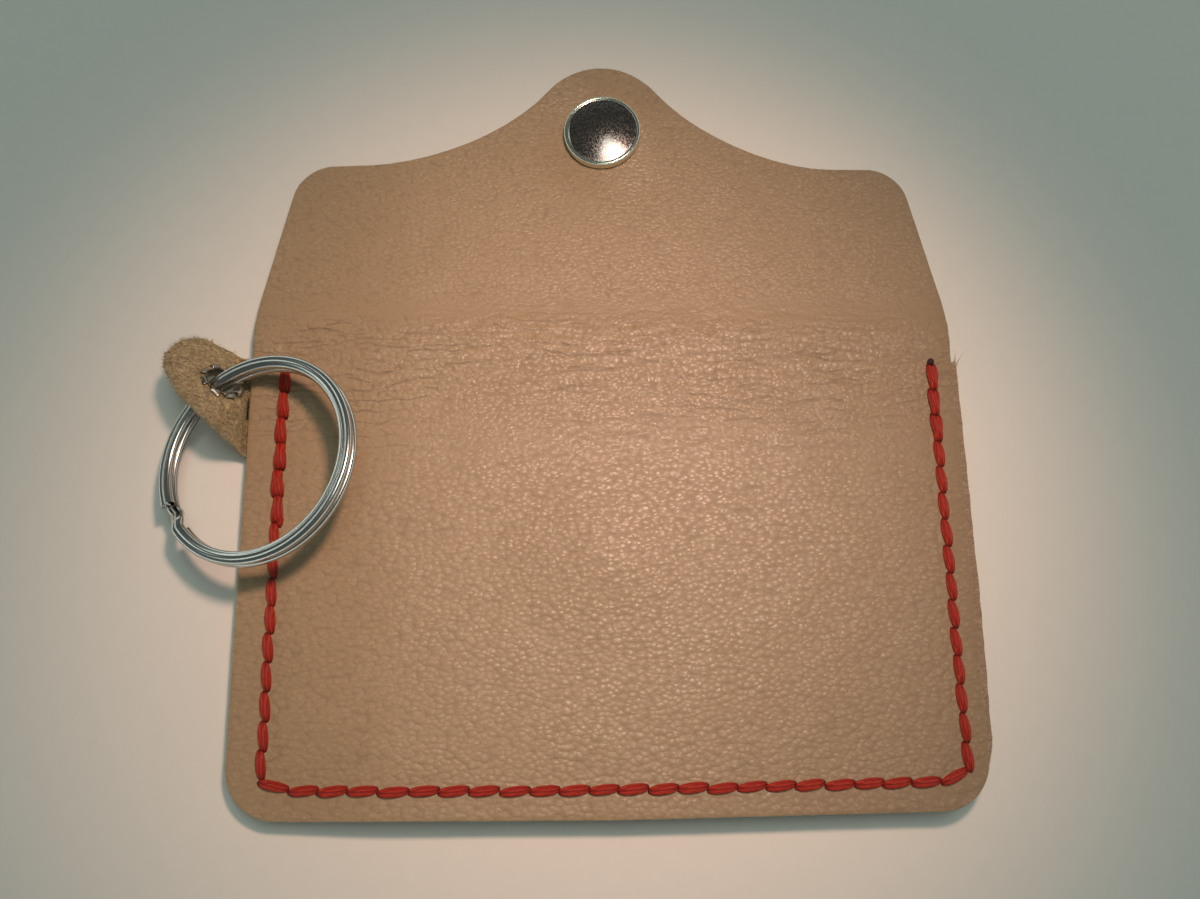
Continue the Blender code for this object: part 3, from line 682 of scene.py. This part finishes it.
tops = [face for face in free_faces if face.material_index == 0 and face.normal.z > 0.3]
roots = fibre_roots(sides, 420, fray_dice, 0.5)
for face in drawn_faces(tops, 620, fray_dice):
    way = fray_dice.uniform(0, 2 * math.pi)
    flat = Vector((math.cos(way), math.sin(way), 0))
    roots.append((face.center - face.normal * 0.02 * MM, flat + face.normal * 0.22))
loose_fibres(tab_mesh, roots, 0.6 * MM, 0.035 * MM, fray_dice)
suede = flesh_leather("suede_leather", (0.6, 0.44, 0.2), (0.17, 0.105, 0.038), 0.32 * MM)
suede_fibre = flesh_leather("suede_fibre", (0.6, 0.46, 0.26), (0.28, 0.19, 0.09), 0.2 * MM)
key_tab = piece("key_tab_leather", tab_mesh, [suede, suede, suede_fibre])
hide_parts("key_tab", "key_tab_root")
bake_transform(key_tab)


# Thread: flat waxed red thread, saddle-stitched by hand through holes that an awl made
# Each stitch is a grain of rice that leans a little across the seam, and it dips in at both ends.

SIDE_STITCHES = 15
BOTTOM_STITCHES = 24
DOUBLED_AT_START = 6
DOUBLED_AT_END = 3
BEAD_OVERLAP = 1.2
BEAD_SAG = 0.62 * MM
BEAD_TURN = 0.5
HOLE_RADIUS = 0.34 * MM
pocket_face = pocket_low.z


def seam_holes():
    """The awl's holes, down the left side, along the bottom and up the right side."""
    left, right = -half_width + 4.85 * MM, half_width - 3.2 * MM
    high, low = pocket_top - 1.3 * MM, 5.6 * MM
    side = [high + (low - high) * i / SIDE_STITCHES for i in range(SIDE_STITCHES + 1)]
    start, end = left + 3.8 * MM, right - 3.8 * MM
    count = BOTTOM_STITCHES - 2
    line = [start + (end - start) * i / count for i in range(count + 1)]
    bottom = [(x, 3.9 * MM + 0.5 * MM * (x / half_width) ** 2) for x in line]
    points = [*((left, y) for y in side), *bottom, *((right, y) for y in reversed(side))]
    return [Vector((x, y, 0)) for x, y in points]


def bead(target, template, start, end, level, up, size, lean, shift=0.0, lift=0.0):
    """One stitch between two holes: a long bead whose ends dip into them."""
    width, height = size
    along = end - start
    length = along.length * BEAD_OVERLAP
    direction = along.normalized()
    sideways = Vector((-direction.y, direction.x, 0))
    middle = (start + end) / 2
    made = template.copy()
    for vertex in made.vertices:
        share = vertex.co.z
        ring = math.sqrt(max(1 - share * share, 1e-9))
        fat = max(1 - abs(share) ** 2.3, 0) ** 0.62 / ring if ring > 1e-3 else 0
        px, py = vertex.co.x * fat, vertex.co.y * fat
        cosine, sine = math.cos(BEAD_TURN * share), math.sin(BEAD_TURN * share)
        px, py = px * cosine - py * sine, px * sine + py * cosine
        sag = BEAD_SAG * abs(share) ** 4
        across = px * width / 2 + lean * share + shift
        offset = direction * (share * length / 2) + sideways * across
        rise = level + up * (height * 0.28 + py * height / 2 - sag + lift)
        vertex.co = on_wallet(middle.x + offset.x, middle.y + offset.y, rise)
    target.from_mesh(made)
    bpy.data.meshes.remove(made)


holes = seam_holes()
stitches = len(holes) - 1
ball = bmesh.new()
ball.loops.layers.uv.new("UVMap")
bmesh.ops.create_uvsphere(ball, u_segments=14, v_segments=18, radius=1, calc_uvs=True)
ball_mesh = as_mesh(ball, "bead")
thread = bmesh.new()
thread.loops.layers.uv.new("UVMap")
through = HIDE_TOP - pocket_face
# Painted shade: the thread inside each awl hole gets the near-black finish, which stands for the
# shade in the hole.
for hole in holes:
    made = bmesh.ops.create_cone(
        thread, cap_ends=True, segments=10, radius1=HOLE_RADIUS, radius2=HOLE_RADIUS, depth=through
    )
    level = pocket_face + through / 2 + (hide_swell(hole.x, hole.y) - 0.03 * MM)
    bmesh.ops.translate(thread, verts=made["verts"], vec=on_wallet(hole.x, hole.y, level))
burnt = bmesh.ops.create_uvsphere(thread, u_segments=10, v_segments=8, radius=0.5 * MM)
for vertex in burnt["verts"]:
    vertex.co *= 1 + 0.5 * noise.noise(vertex.co / (0.3 * MM))
last = holes[-1] + Vector((0, 0.45 * MM, 0))
burnt_place = on_wallet(last.x, last.y, HIDE_TOP + 0.25 * MM)
bmesh.ops.translate(thread, verts=burnt["verts"], vec=burnt_place)
# The near-black finish is painted shade for the thread in the holes and the real colour of the
# burnt end.
for face in thread.faces:
    face.material_index = 1
dice = random.Random(11)
for index, (start, end) in enumerate(zip(holes, holes[1:])):
    doubled = index < DOUBLED_AT_START or index >= stitches - DOUBLED_AT_END
    middle = (start + end) / 2
    for face_z, up in ((HIDE_TOP, 1), (pocket_face, -1)):
        size = dice.uniform(1.36, 1.5) * MM, dice.uniform(0.88, 1.0) * MM
        jitter = Vector((dice.uniform(-0.1, 0.1), dice.uniform(-0.1, 0.1), 0)) * MM
        first, second = start + jitter, end + jitter
        level = face_z + (hide_swell(middle.x, middle.y) if up > 0 else -droop(middle.x))
        lean = dice.uniform(0.2, 0.32) * MM * up
        if not doubled or up < 0:
            bead(thread, ball_mesh, first, second, level, up, size, lean)
            continue
        fat = size[0], size[1] * 1.08
        for side in (-1, 1):
            swing = (0.32 * side + dice.uniform(-0.06, 0.16)) * MM
            shift, lift = 0.12 * MM * side, 0.16 * MM * (side > 0)
            bead(thread, ball_mesh, first, second, level, up, fat, swing, shift, lift)
tail = holes[6] + Vector((0.75 * MM, 0.9 * MM, 0))
tail_end = tail - Vector((0.25 * MM, 1.6 * MM, 0))
tail_level = HIDE_TOP + hide_swell(tail.x, tail.y)
bead(thread, ball_mesh, tail, tail_end, tail_level, 1, (0.8 * MM, 0.7 * MM), 0)


def smooth_shaded(mesh):
    for face in mesh.polygons:
        face.use_smooth = True
    return mesh


def hole_shade_and_burnt_thread():
    """The thread inside its holes, near black as painted shade, and its burnt end."""
    material, tree, shader = new_material("thread_hole_shade_and_burnt_end")
    feed(tree, shader, {"Base Color": (0.035, 0.008, 0.007, 1), "Roughness": 0.8})
    return material


def waxed_thread():
    """Red waxed thread: fine fibres along it, with painted highlights on them and painted shade
    between them and where it dips into its holes.
    """
    fibre_shade_red, fibre_highlight_red = (0.26, 0.01, 0.007), (0.66, 0.044, 0.015)
    dip_shade_red, worn_red = (0.05, 0.004, 0.005), (0.66, 0.12, 0.05)
    material, tree, shader = new_material("waxed_thread")
    uv = shade(tree, "UVMap", uv_map="UVMap").outputs[0]
    along_bead = along_axis(tree, uv, "Y")
    around = maths(tree, "ADD", along_axis(tree, uv, "X"), times(tree, along_bead, 0.22))
    lined = shade(tree, "CombineXYZ", {0: times(tree, around, 16.0), 1: along_bead}).outputs[0]
    # The fibre pattern also makes the bump. In the colour it gives painted highlights on the fibres
    # and painted shade between them.
    fibre = ramp(tree, clouds(tree, lined, 1.6, 3.0, Distortion=0.4), 0.34, 0.66)
    cloud = clouds(tree, in_millimetres(tree), 1.1, 3.0)
    # Painted shade: the thread darkens towards both ends of each stitch, where it dips into the
    # holes.
    from_middle = maths(tree, "ABSOLUTE", maths(tree, "SUBTRACT", along_bead, 0.5))
    end = times(tree, ramp(tree, from_middle, 0.22, 0.37), 0.85)
    red = tint(tree, end, tint(tree, fibre, fibre_shade_red, fibre_highlight_red), dip_shade_red)
    finish = {
        "Base Color": tint(tree, ramp(tree, cloud, 0.6, 0.8, 0.0, 0.3), red, worn_red),
        "Roughness": 0.45,
        "Specular IOR Level": 0.3,
        "Normal": relief(tree, fibre, 0.16 * MM),
    }
    feed(tree, shader, finish)
    return material


thread_mesh = smooth_shaded(as_mesh(thread, "thread"))
seam = piece("thread", thread_mesh, [waxed_thread(), hole_shade_and_burnt_thread()])
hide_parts("seam_thread")
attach(seam, "pouch")


# Snap: four pressed and turned parts of nickel-plated brass, two at each side, and a spring
# The cap and its post clamp the socket under the flap, and the stud is clinched through the pocket.


def turned(profile, closed, turns=96):
    """A bmesh turned round z from a profile of (radius, height) in millimetres."""
    lathe = bmesh.new()
    points = [lathe.verts.new((radius * MM, 0, height * MM)) for radius, height in profile]
    for pair in zip(points, points[1:]):
        lathe.edges.new(pair)
    if closed:
        lathe.edges.new((points[-1], points[0]))
    bmesh.ops.spin(
        lathe,
        geom=[*lathe.verts, *lathe.edges],
        cent=(0, 0, 0),
        axis=(0, 0, 1),
        angle=2 * math.pi,
        steps=turns,
        use_merge=True,
    )
    bmesh.ops.remove_doubles(lathe, verts=lathe.verts, dist=1e-7)
    return lathe


def spun(name, profile, centre):
    """A solid turned piece, whose profile starts and ends on the axis or is closed."""
    lathe = turned(profile, closed=profile[0][0] > 0 or profile[-1][0] > 0)
    bmesh.ops.recalc_face_normals(lathe, faces=lathe.faces)
    bmesh.ops.translate(lathe, verts=lathe.verts, vec=centre)
    return smooth_shaded(as_mesh(lathe, name))


def arc(centre, radius, start, end, count):
    """Profile points on an arc, its angles in degrees from +r towards +z."""
    made = []
    for i in range(count + 1):
        angle = math.radians(start + (end - start) * i / count)
        made.append((centre[0] + radius * math.cos(angle), centre[1] + radius * math.sin(angle)))
    return made


def plated_metal(name, colour, worn, roughness, rough_patch):
    """Nickel plate: polished, with rubbed patches and a trace of tarnish."""
    material, tree, shader = new_material(name)
    place = in_millimetres(tree)
    blotch = clouds(tree, place, 0.9, 5.0, Roughness=0.65)
    speck = clouds(tree, stretched(tree, place, (3.0, 1.2, 2.0)), 2.2, 4.0)
    mixed = maths(tree, "ADD", times(tree, blotch, 0.5), times(tree, speck, 0.5))
    share = ramp(tree, mixed, 0.3, 0.7)
    finish = {
        "Base Color": tint(tree, share, colour, worn),
        "Roughness": ramp(tree, share, 0.0, 1.0, roughness, rough_patch),
        "Metallic": 1.0,
    }
    feed(tree, shader, finish)
    return material


def cap_metal():
    """Nickel that has gone dark and specked on the dome, with a painted highlight in its brighter
    rim.
    """
    dark_dome, specked_dome, painted_rim_highlight = (0.25, 0.215, 0.195), (0.34, 0.28, 0.265), (0.78, 0.8, 0.68)
    rim_roughness = 0.18
    material, tree, shader = new_material("cap_nickel")
    place = in_millimetres(tree)
    from_mid = vector_maths(tree, "SUBTRACT", place, (snap_mid.x / MM, snap_mid.y / MM, 0))
    radius = distance_from(tree, stretched(tree, from_mid, (1.0, 1.0, 0.0)))
    on_rim = ramp(tree, radius, 5.1, 5.35)
    specks = ramp(tree, clouds(tree, place, 3.6, 3.0), 0.4, 0.62)
    dome_roughness = ramp(tree, specks, 0.0, 1.0, 0.16, 0.28)
    # Painted highlight: the rim's colour is brighter than the dome's, so that its line stands out.
    finish = {
        "Base Color": tint(tree, on_rim, tint(tree, specks, dark_dome, specked_dome), painted_rim_highlight),
        "Roughness": between_values(tree, on_rim, dome_roughness, rim_roughness),
        "Metallic": 1.0,
        "Normal": relief(tree, specks, 0.009 * MM, 0.3),
    }
    feed(tree, shader, finish)
    return material


cap_profile = [
    (0.0, 2.22),
    (1.0, 2.19),
    (2.0, 2.09),
    (3.0, 1.92),
    (4.0, 1.69),
    (4.8, 1.45),
    (5.2, 1.33),
    (5.3, 1.32),
    *arc((5.54, 1.22), 0.26, 140, 0, 10),
    (5.8, 0.35),
    *arc((5.57, 0.35), 0.25, -15, -90, 5),
    (5.1, 0.1),
    (5.1, 0.32),
    (5.45, 0.42),
    (5.5, 0.9),
    (5.0, 1.1),
    (2.8, 1.5),
    (0.0, 1.7),
]
snap_top = Vector((snap_mid.x, snap_mid.y, HIDE_TOP))
cap_mesh = spun("cap", cap_profile, Vector((0, 0, 0)))
cap_lean = Matrix.Rotation(math.atan(-CAP_LEAN), 4, "Y")
cap_mesh.transform(Matrix.Translation(snap_top) @ cap_lean)
cap = piece("cap", cap_mesh, [cap_metal()])
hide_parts("snap_cap")
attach(cap, "flap")
nickel = plated_metal("nickel", (0.45, 0.42, 0.38), (0.52, 0.48, 0.43), 0.18, 0.36)
post_profile = [
    (0.0, 0.9),
    (5.3, 0.9),
    (5.3, 0.52),
    (1.2, 0.52),
    (1.2, -1.62),
    (2.1, -1.62),
    (2.2, -1.75),
    (2.05, -1.95),
    (1.0, -1.85),
    (0.0, -1.8),
]
post = piece("cap_shank", spun("cap_shank", post_profile, snap_top), [nickel])
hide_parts("cap_post")
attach(post, "flap")
socket_profile = [
    (1.4, -1.2),
    (5.2, -1.2),
    *arc((5.1, -1.4), 0.2, 60, -90, 5),
    (4.6, -1.62),
    (4.42, -1.75),
    (4.4, -3.3),
    *arc((3.95, -3.35), 0.45, 0, -90, 6),
    (3.05, -3.8),
    *arc((3.0, -3.6), 0.2, -90, -180, 4),
    (2.85, -3.38),
    (3.9, -3.35),
    (4.0, -3.2),
    (4.0, -1.6),
    (1.4, -1.55),
]
socket = piece("socket", spun("socket", socket_profile, snap_top), [nickel])
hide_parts("snap_socket")
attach(socket, "flap")
stud_top = Vector((stud_mid.x, stud_mid.y, pocket_face))
stud_profile = [
    (1.4, -0.1),
    (4.6, -0.1),
    *arc((4.55, -0.28), 0.18, 60, -90, 5),
    (2.15, -0.5),
    (2.0, -0.65),
    (2.0, -1.0),
    (2.15, -1.3),
    *arc((1.95, -1.75), 0.45, 40, -70, 8),
    (1.7, -2.2),
    (1.55, -2.15),
    (1.55, -0.85),
    (1.4, -0.85),
]
stud = piece("stud", spun("stud", stud_profile, stud_top), [nickel])
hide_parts("snap_stud")
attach(stud, "pouch")
shank_profile = [
    (0.0, 1.55),
    (4.4, 1.55),
    (4.5, 1.4),
    (4.5, 1.2),
    (1.2, 1.2),
    (1.2, -0.95),
    (1.42, -0.98),
    (1.45, -1.12),
    (1.3, -1.25),
    (0.6, -1.15),
    (0.0, -1.1),
]
stud_shank = piece("stud_shank", spun("stud_shank", shank_profile, stud_top), [nickel])
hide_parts("stud_post")
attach(stud_shank, "pouch")


def turn_about_centre(shape, angle, axis):
    turn = Matrix.Rotation(angle, 3, axis)
    bmesh.ops.rotate(shape, verts=shape.verts, cent=(0, 0, 0), matrix=turn)


SPRING_RADIUS = 2.8 * MM
SPRING_WIRE = 0.25 * MM
SPRING_GAP = math.radians(40)
spring = bmesh.new()
bmesh.ops.create_circle(spring, cap_ends=False, segments=10, radius=SPRING_WIRE)
turn_about_centre(spring, math.pi / 2, "X")
bmesh.ops.translate(spring, verts=spring.verts, vec=(SPRING_RADIUS, 0, 0))
turn_about_centre(spring, SPRING_GAP / 2, "Z")
bmesh.ops.spin(
    spring,
    geom=[*spring.verts, *spring.edges],
    cent=(0, 0, 0),
    axis=(0, 0, 1),
    angle=2 * math.pi - SPRING_GAP,
    steps=48,
)
bmesh.ops.holes_fill(spring, edges=open_edges(spring), sides=0)
bmesh.ops.recalc_face_normals(spring, faces=spring.faces)
spring_mid = middle_of(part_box("snap_spring"))
bmesh.ops.translate(spring, verts=spring.verts, vec=(snap_mid.x, snap_mid.y, spring_mid.z))
spring_mesh = smooth_shaded(as_mesh(spring, "socket_spring"))
ring_steel = plated_metal("ring_steel", (0.59, 0.575, 0.55), (0.55, 0.53, 0.5), 0.2, 0.24)
socket_spring = piece("socket_spring", spring_mesh, [ring_steel])
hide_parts("snap_spring")
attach(socket_spring, "flap")


# Eyelet: a thin nickel tube set through the tab, with a flange below
# Its upper end is split and rolled back over the leather in petals.

PETALS = 8
EYELET_STEPS = 6 * PETALS
EYELET_SHEET = 0.2 * MM
half_tab = TAB_THICKNESS / MM / 2
eyelet_profile = [
    (3.2, -half_tab - 0.2),
    (2.5, -half_tab - 0.32),
    (2.25, -half_tab - 0.2),
    (2.2, -half_tab),
    (2.2, half_tab + 0.1),
    (2.3, half_tab + 0.36),
    (2.52, half_tab + 0.5),
    (2.8, half_tab + 0.46),
    (3.05, half_tab + 0.3),
    (3.25, half_tab + 0.08),
]
eyelet = turned(eyelet_profile, closed=False, turns=EYELET_STEPS)
gaps = []
for face in eyelet.faces:
    middle = face.calc_center_median()
    if middle.z < half_tab * MM:
        continue
    radius = math.hypot(middle.x, middle.y) / MM
    turn = (math.degrees(math.atan2(middle.y, middle.x)) * PETALS / 360) % 1
    from_gap = min(turn, 1 - turn)
    if radius > 2.4 and from_gap < 0.1 or radius > 3.0 and from_gap < 0.2:
        gaps.append(face)
bmesh.ops.delete(eyelet, geom=gaps, context="FACES")
bmesh.ops.recalc_face_normals(eyelet, faces=eyelet.faces)
for vertex in eyelet.verts:
    radius = math.hypot(vertex.co.x, vertex.co.y) / MM
    ragged = smooth((radius - 2.3) / 0.8) * (vertex.co.z > 0)
    way = noise.noise_vector(vertex.co / (0.9 * MM))
    vertex.co += Vector((way.x * 0.35, way.y * 0.35, way.z * 0.28)) * ragged * MM
bmesh.ops.solidify(eyelet, geom=eyelet.faces[:], thickness=EYELET_SHEET)
bmesh.ops.recalc_face_normals(eyelet, faces=eyelet.faces)
eyelet_turn = Vector((0, 0, 1)).rotation_difference(eyelet_axis).to_matrix().to_4x4()
eyelet.transform(Matrix.Translation(eyelet_centre) @ eyelet_turn)
eyelet_mesh = smooth_shaded(as_mesh(eyelet, "eyelet"))
eyelet_nickel = plated_metal("eyelet_nickel", (0.36, 0.31, 0.26), (0.2, 0.155, 0.11), 0.22, 0.45)
key_eyelet = piece("eyelet", eyelet_mesh, [eyelet_nickel])
rounder = key_eyelet.modifiers.new("round", "SUBSURF")
rounder.levels = rounder.render_levels = 1
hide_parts("key_eyelet")
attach(key_eyelet, "key_tab")


# Split ring: two flattened turns of one spring wire, joined by a kink where it steps up
# It passes through the eyelet and leans with one side on the wallet.

RING_RADIUS = 14.05 * MM
BAND = 1.9 * MM
COIL = 1.09 * MM
CROWN = 0.09 * MM
WIRE_CORNER = 0.4 * MM
NOTCH = 0.45 * MM
COIL_RISE = (COIL + 0.16 * MM) / 2
EYELET_ON_RING = math.radians(122)
KINK_START = math.radians(220)
KINK = math.radians(14)
WIRE_END = math.radians(2)
LONG_TURN = 2 * math.pi - KINK - WIRE_END
LONG_STEPS = 320
ring_tilt = Euler((math.radians(-5.4), math.radians(-21.3), 0)).to_matrix()
to_eyelet = Vector((math.cos(EYELET_ON_RING), math.sin(EYELET_ON_RING), 0))
ring_centre = eyelet_centre - ring_tilt @ (to_eyelet * RING_RADIUS)
ring = bmesh.new()
wire_x, wire_z = BAND / 2, COIL / 2 - 0.06 * MM
quarters = ((1, 1), (-1, 1), (-1, -1), (1, -1))
ring.faces.new([ring.verts.new((x * wire_x, 0, z * wire_z)) for x, z in quarters])
bmesh.ops.bevel(
    ring,
    geom=ring.verts[:],
    offset=WIRE_CORNER,
    segments=5,
    profile=0.5,
    affect="VERTICES",
    material=-1,
)
flats = [edge for edge in ring.edges if edge.calc_length() > 0.2 * MM]
bmesh.ops.subdivide_edges(ring, edges=flats, cuts=3)
for vertex in ring.verts:
    if abs(vertex.co.z) > COIL * 0.3:
        bulge = CROWN * (1 - (vertex.co.x / wire_x) ** 2)
        vertex.co.z += math.copysign(bulge, vertex.co.z)
bmesh.ops.delete(ring, geom=ring.faces[:], context="FACES_ONLY")
bmesh.ops.translate(ring, verts=ring.verts, vec=(RING_RADIUS, 0, -COIL_RISE))
turn_about_centre(ring, KINK_START + WIRE_END, "Z")
loop = [*ring.verts, *ring.edges]
for angle, rise, count in (
    (LONG_TURN, 0, LONG_STEPS),
    (KINK * 0.25, 2 * COIL_RISE * 0.12, 4),
    (KINK * 0.5, 2 * COIL_RISE * 0.76, 8),
    (KINK * 0.25, 2 * COIL_RISE * 0.12, 4),
    (LONG_TURN, 0, LONG_STEPS),
):
    wound = bmesh.ops.spin(
        ring,
        geom=loop,
        cent=(0, 0, 0),
        axis=(0, 0, 1),
        dvec=(0, 0, rise / count),
        angle=angle,
        steps=count,
    )
    loop = wound["geom_last"]
bmesh.ops.holes_fill(ring, edges=open_edges(ring), sides=0)
bmesh.ops.recalc_face_normals(ring, faces=ring.faces)
ring.transform(Matrix.Translation(ring_centre) @ ring_tilt.to_4x4())
ring_mesh = as_mesh(ring, "key_ring")
for face in ring_mesh.polygons:
    face.use_smooth = len(face.vertices) == 4
for vertex in ring_mesh.vertices:
    level_place = ring_tilt.inverted() @ (vertex.co - ring_centre)
    angle = math.atan2(level_place.y, level_place.x) % (2 * math.pi)
    notch = math.exp(-(((angle - KINK_START + KINK / 2) / (KINK * 0.42)) ** 4))
    outward = Vector((level_place.x, level_place.y, 0)).normalized()
    vertex.co += ring_tilt @ (outward * -NOTCH * notch)
key_ring = piece("key_ring", ring_mesh, [ring_steel])
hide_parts("split_ring")
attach(key_ring, "ring")


# Table: a pale, plain surface that fills the picture
# It is not part of the wallet.

table_bm = bmesh.new()
bmesh.ops.create_grid(table_bm, x_segments=1, y_segments=1, size=1.5)
table_mesh = as_mesh(table_bm, "table")
table = bpy.data.objects.new("table", table_mesh)
bpy.context.scene.collection.objects.link(table)
paper, paper_tree, paper_shader = new_material("table_paper")
mottle = clouds(paper_tree, in_millimetres(paper_tree), 0.35, 5.0)
pale = tint(paper_tree, mottle, (0.76, 0.755, 0.7), (0.8, 0.79, 0.735))
feed(paper_tree, paper_shader, {"Base Color": pale, "Roughness": 0.85})
table_mesh.materials.append(paper)


# Light: one warm lamp hangs close above the wallet, a little beyond it, and makes a pool of light
# A soft one overhead and a dim, cooler room fill the shadows.

WARM_WHITE = (1.0, 0.625, 0.488)
COOL_WHITE = (0.86, 1.0, 0.93)
LAMP_WATTS = 1.49
OVERHEAD_WATTS = 0.66


def lamp(name, kind, place, aim, watts, colour, **settings):
    data = bpy.data.lights.new(name, kind)
    data.energy = watts
    data.color = colour
    for key, value in settings.items():
        setattr(data, key, value)
    made = bpy.data.objects.new(name, data)
    facing = (place - aim).to_track_quat("Z", "Y").to_matrix().to_4x4()
    made.matrix_world = Matrix.Translation(place) @ facing
    bpy.context.scene.collection.objects.link(made)


pool = on_wallet(-1.5 * MM, 43.8 * MM, HIDE_TOP)
lamp(
    "desk_lamp",
    "SPOT",
    on_wallet(0.026, 0.093, 0.21),
    pool,
    LAMP_WATTS,
    WARM_WHITE,
    spot_size=math.radians(50.4),
    spot_blend=1.0,
    shadow_soft_size=0.014,
)
overhead_place = on_wallet(0.033, 0.123, 0.595)
lamp("overhead", "AREA", overhead_place, pool, OVERHEAD_WATTS, COOL_WHITE, size=0.24)

world = bpy.data.worlds.new("room")
world.use_nodes = True
bpy.context.scene.world = world
room = world.node_tree
height = along_axis(room, shade(room, "TexCoord").outputs["Generated"], "Z")
walls = tint(room, ramp(room, height, 0.1, 0.38), (0.86, 1.0, 0.95), (0.05, 0.058, 0.055))
feed(room, room.nodes["Background"], {"Color": walls, "Strength": 1.45})

bpy.context.scene.view_settings.view_transform = "Standard"
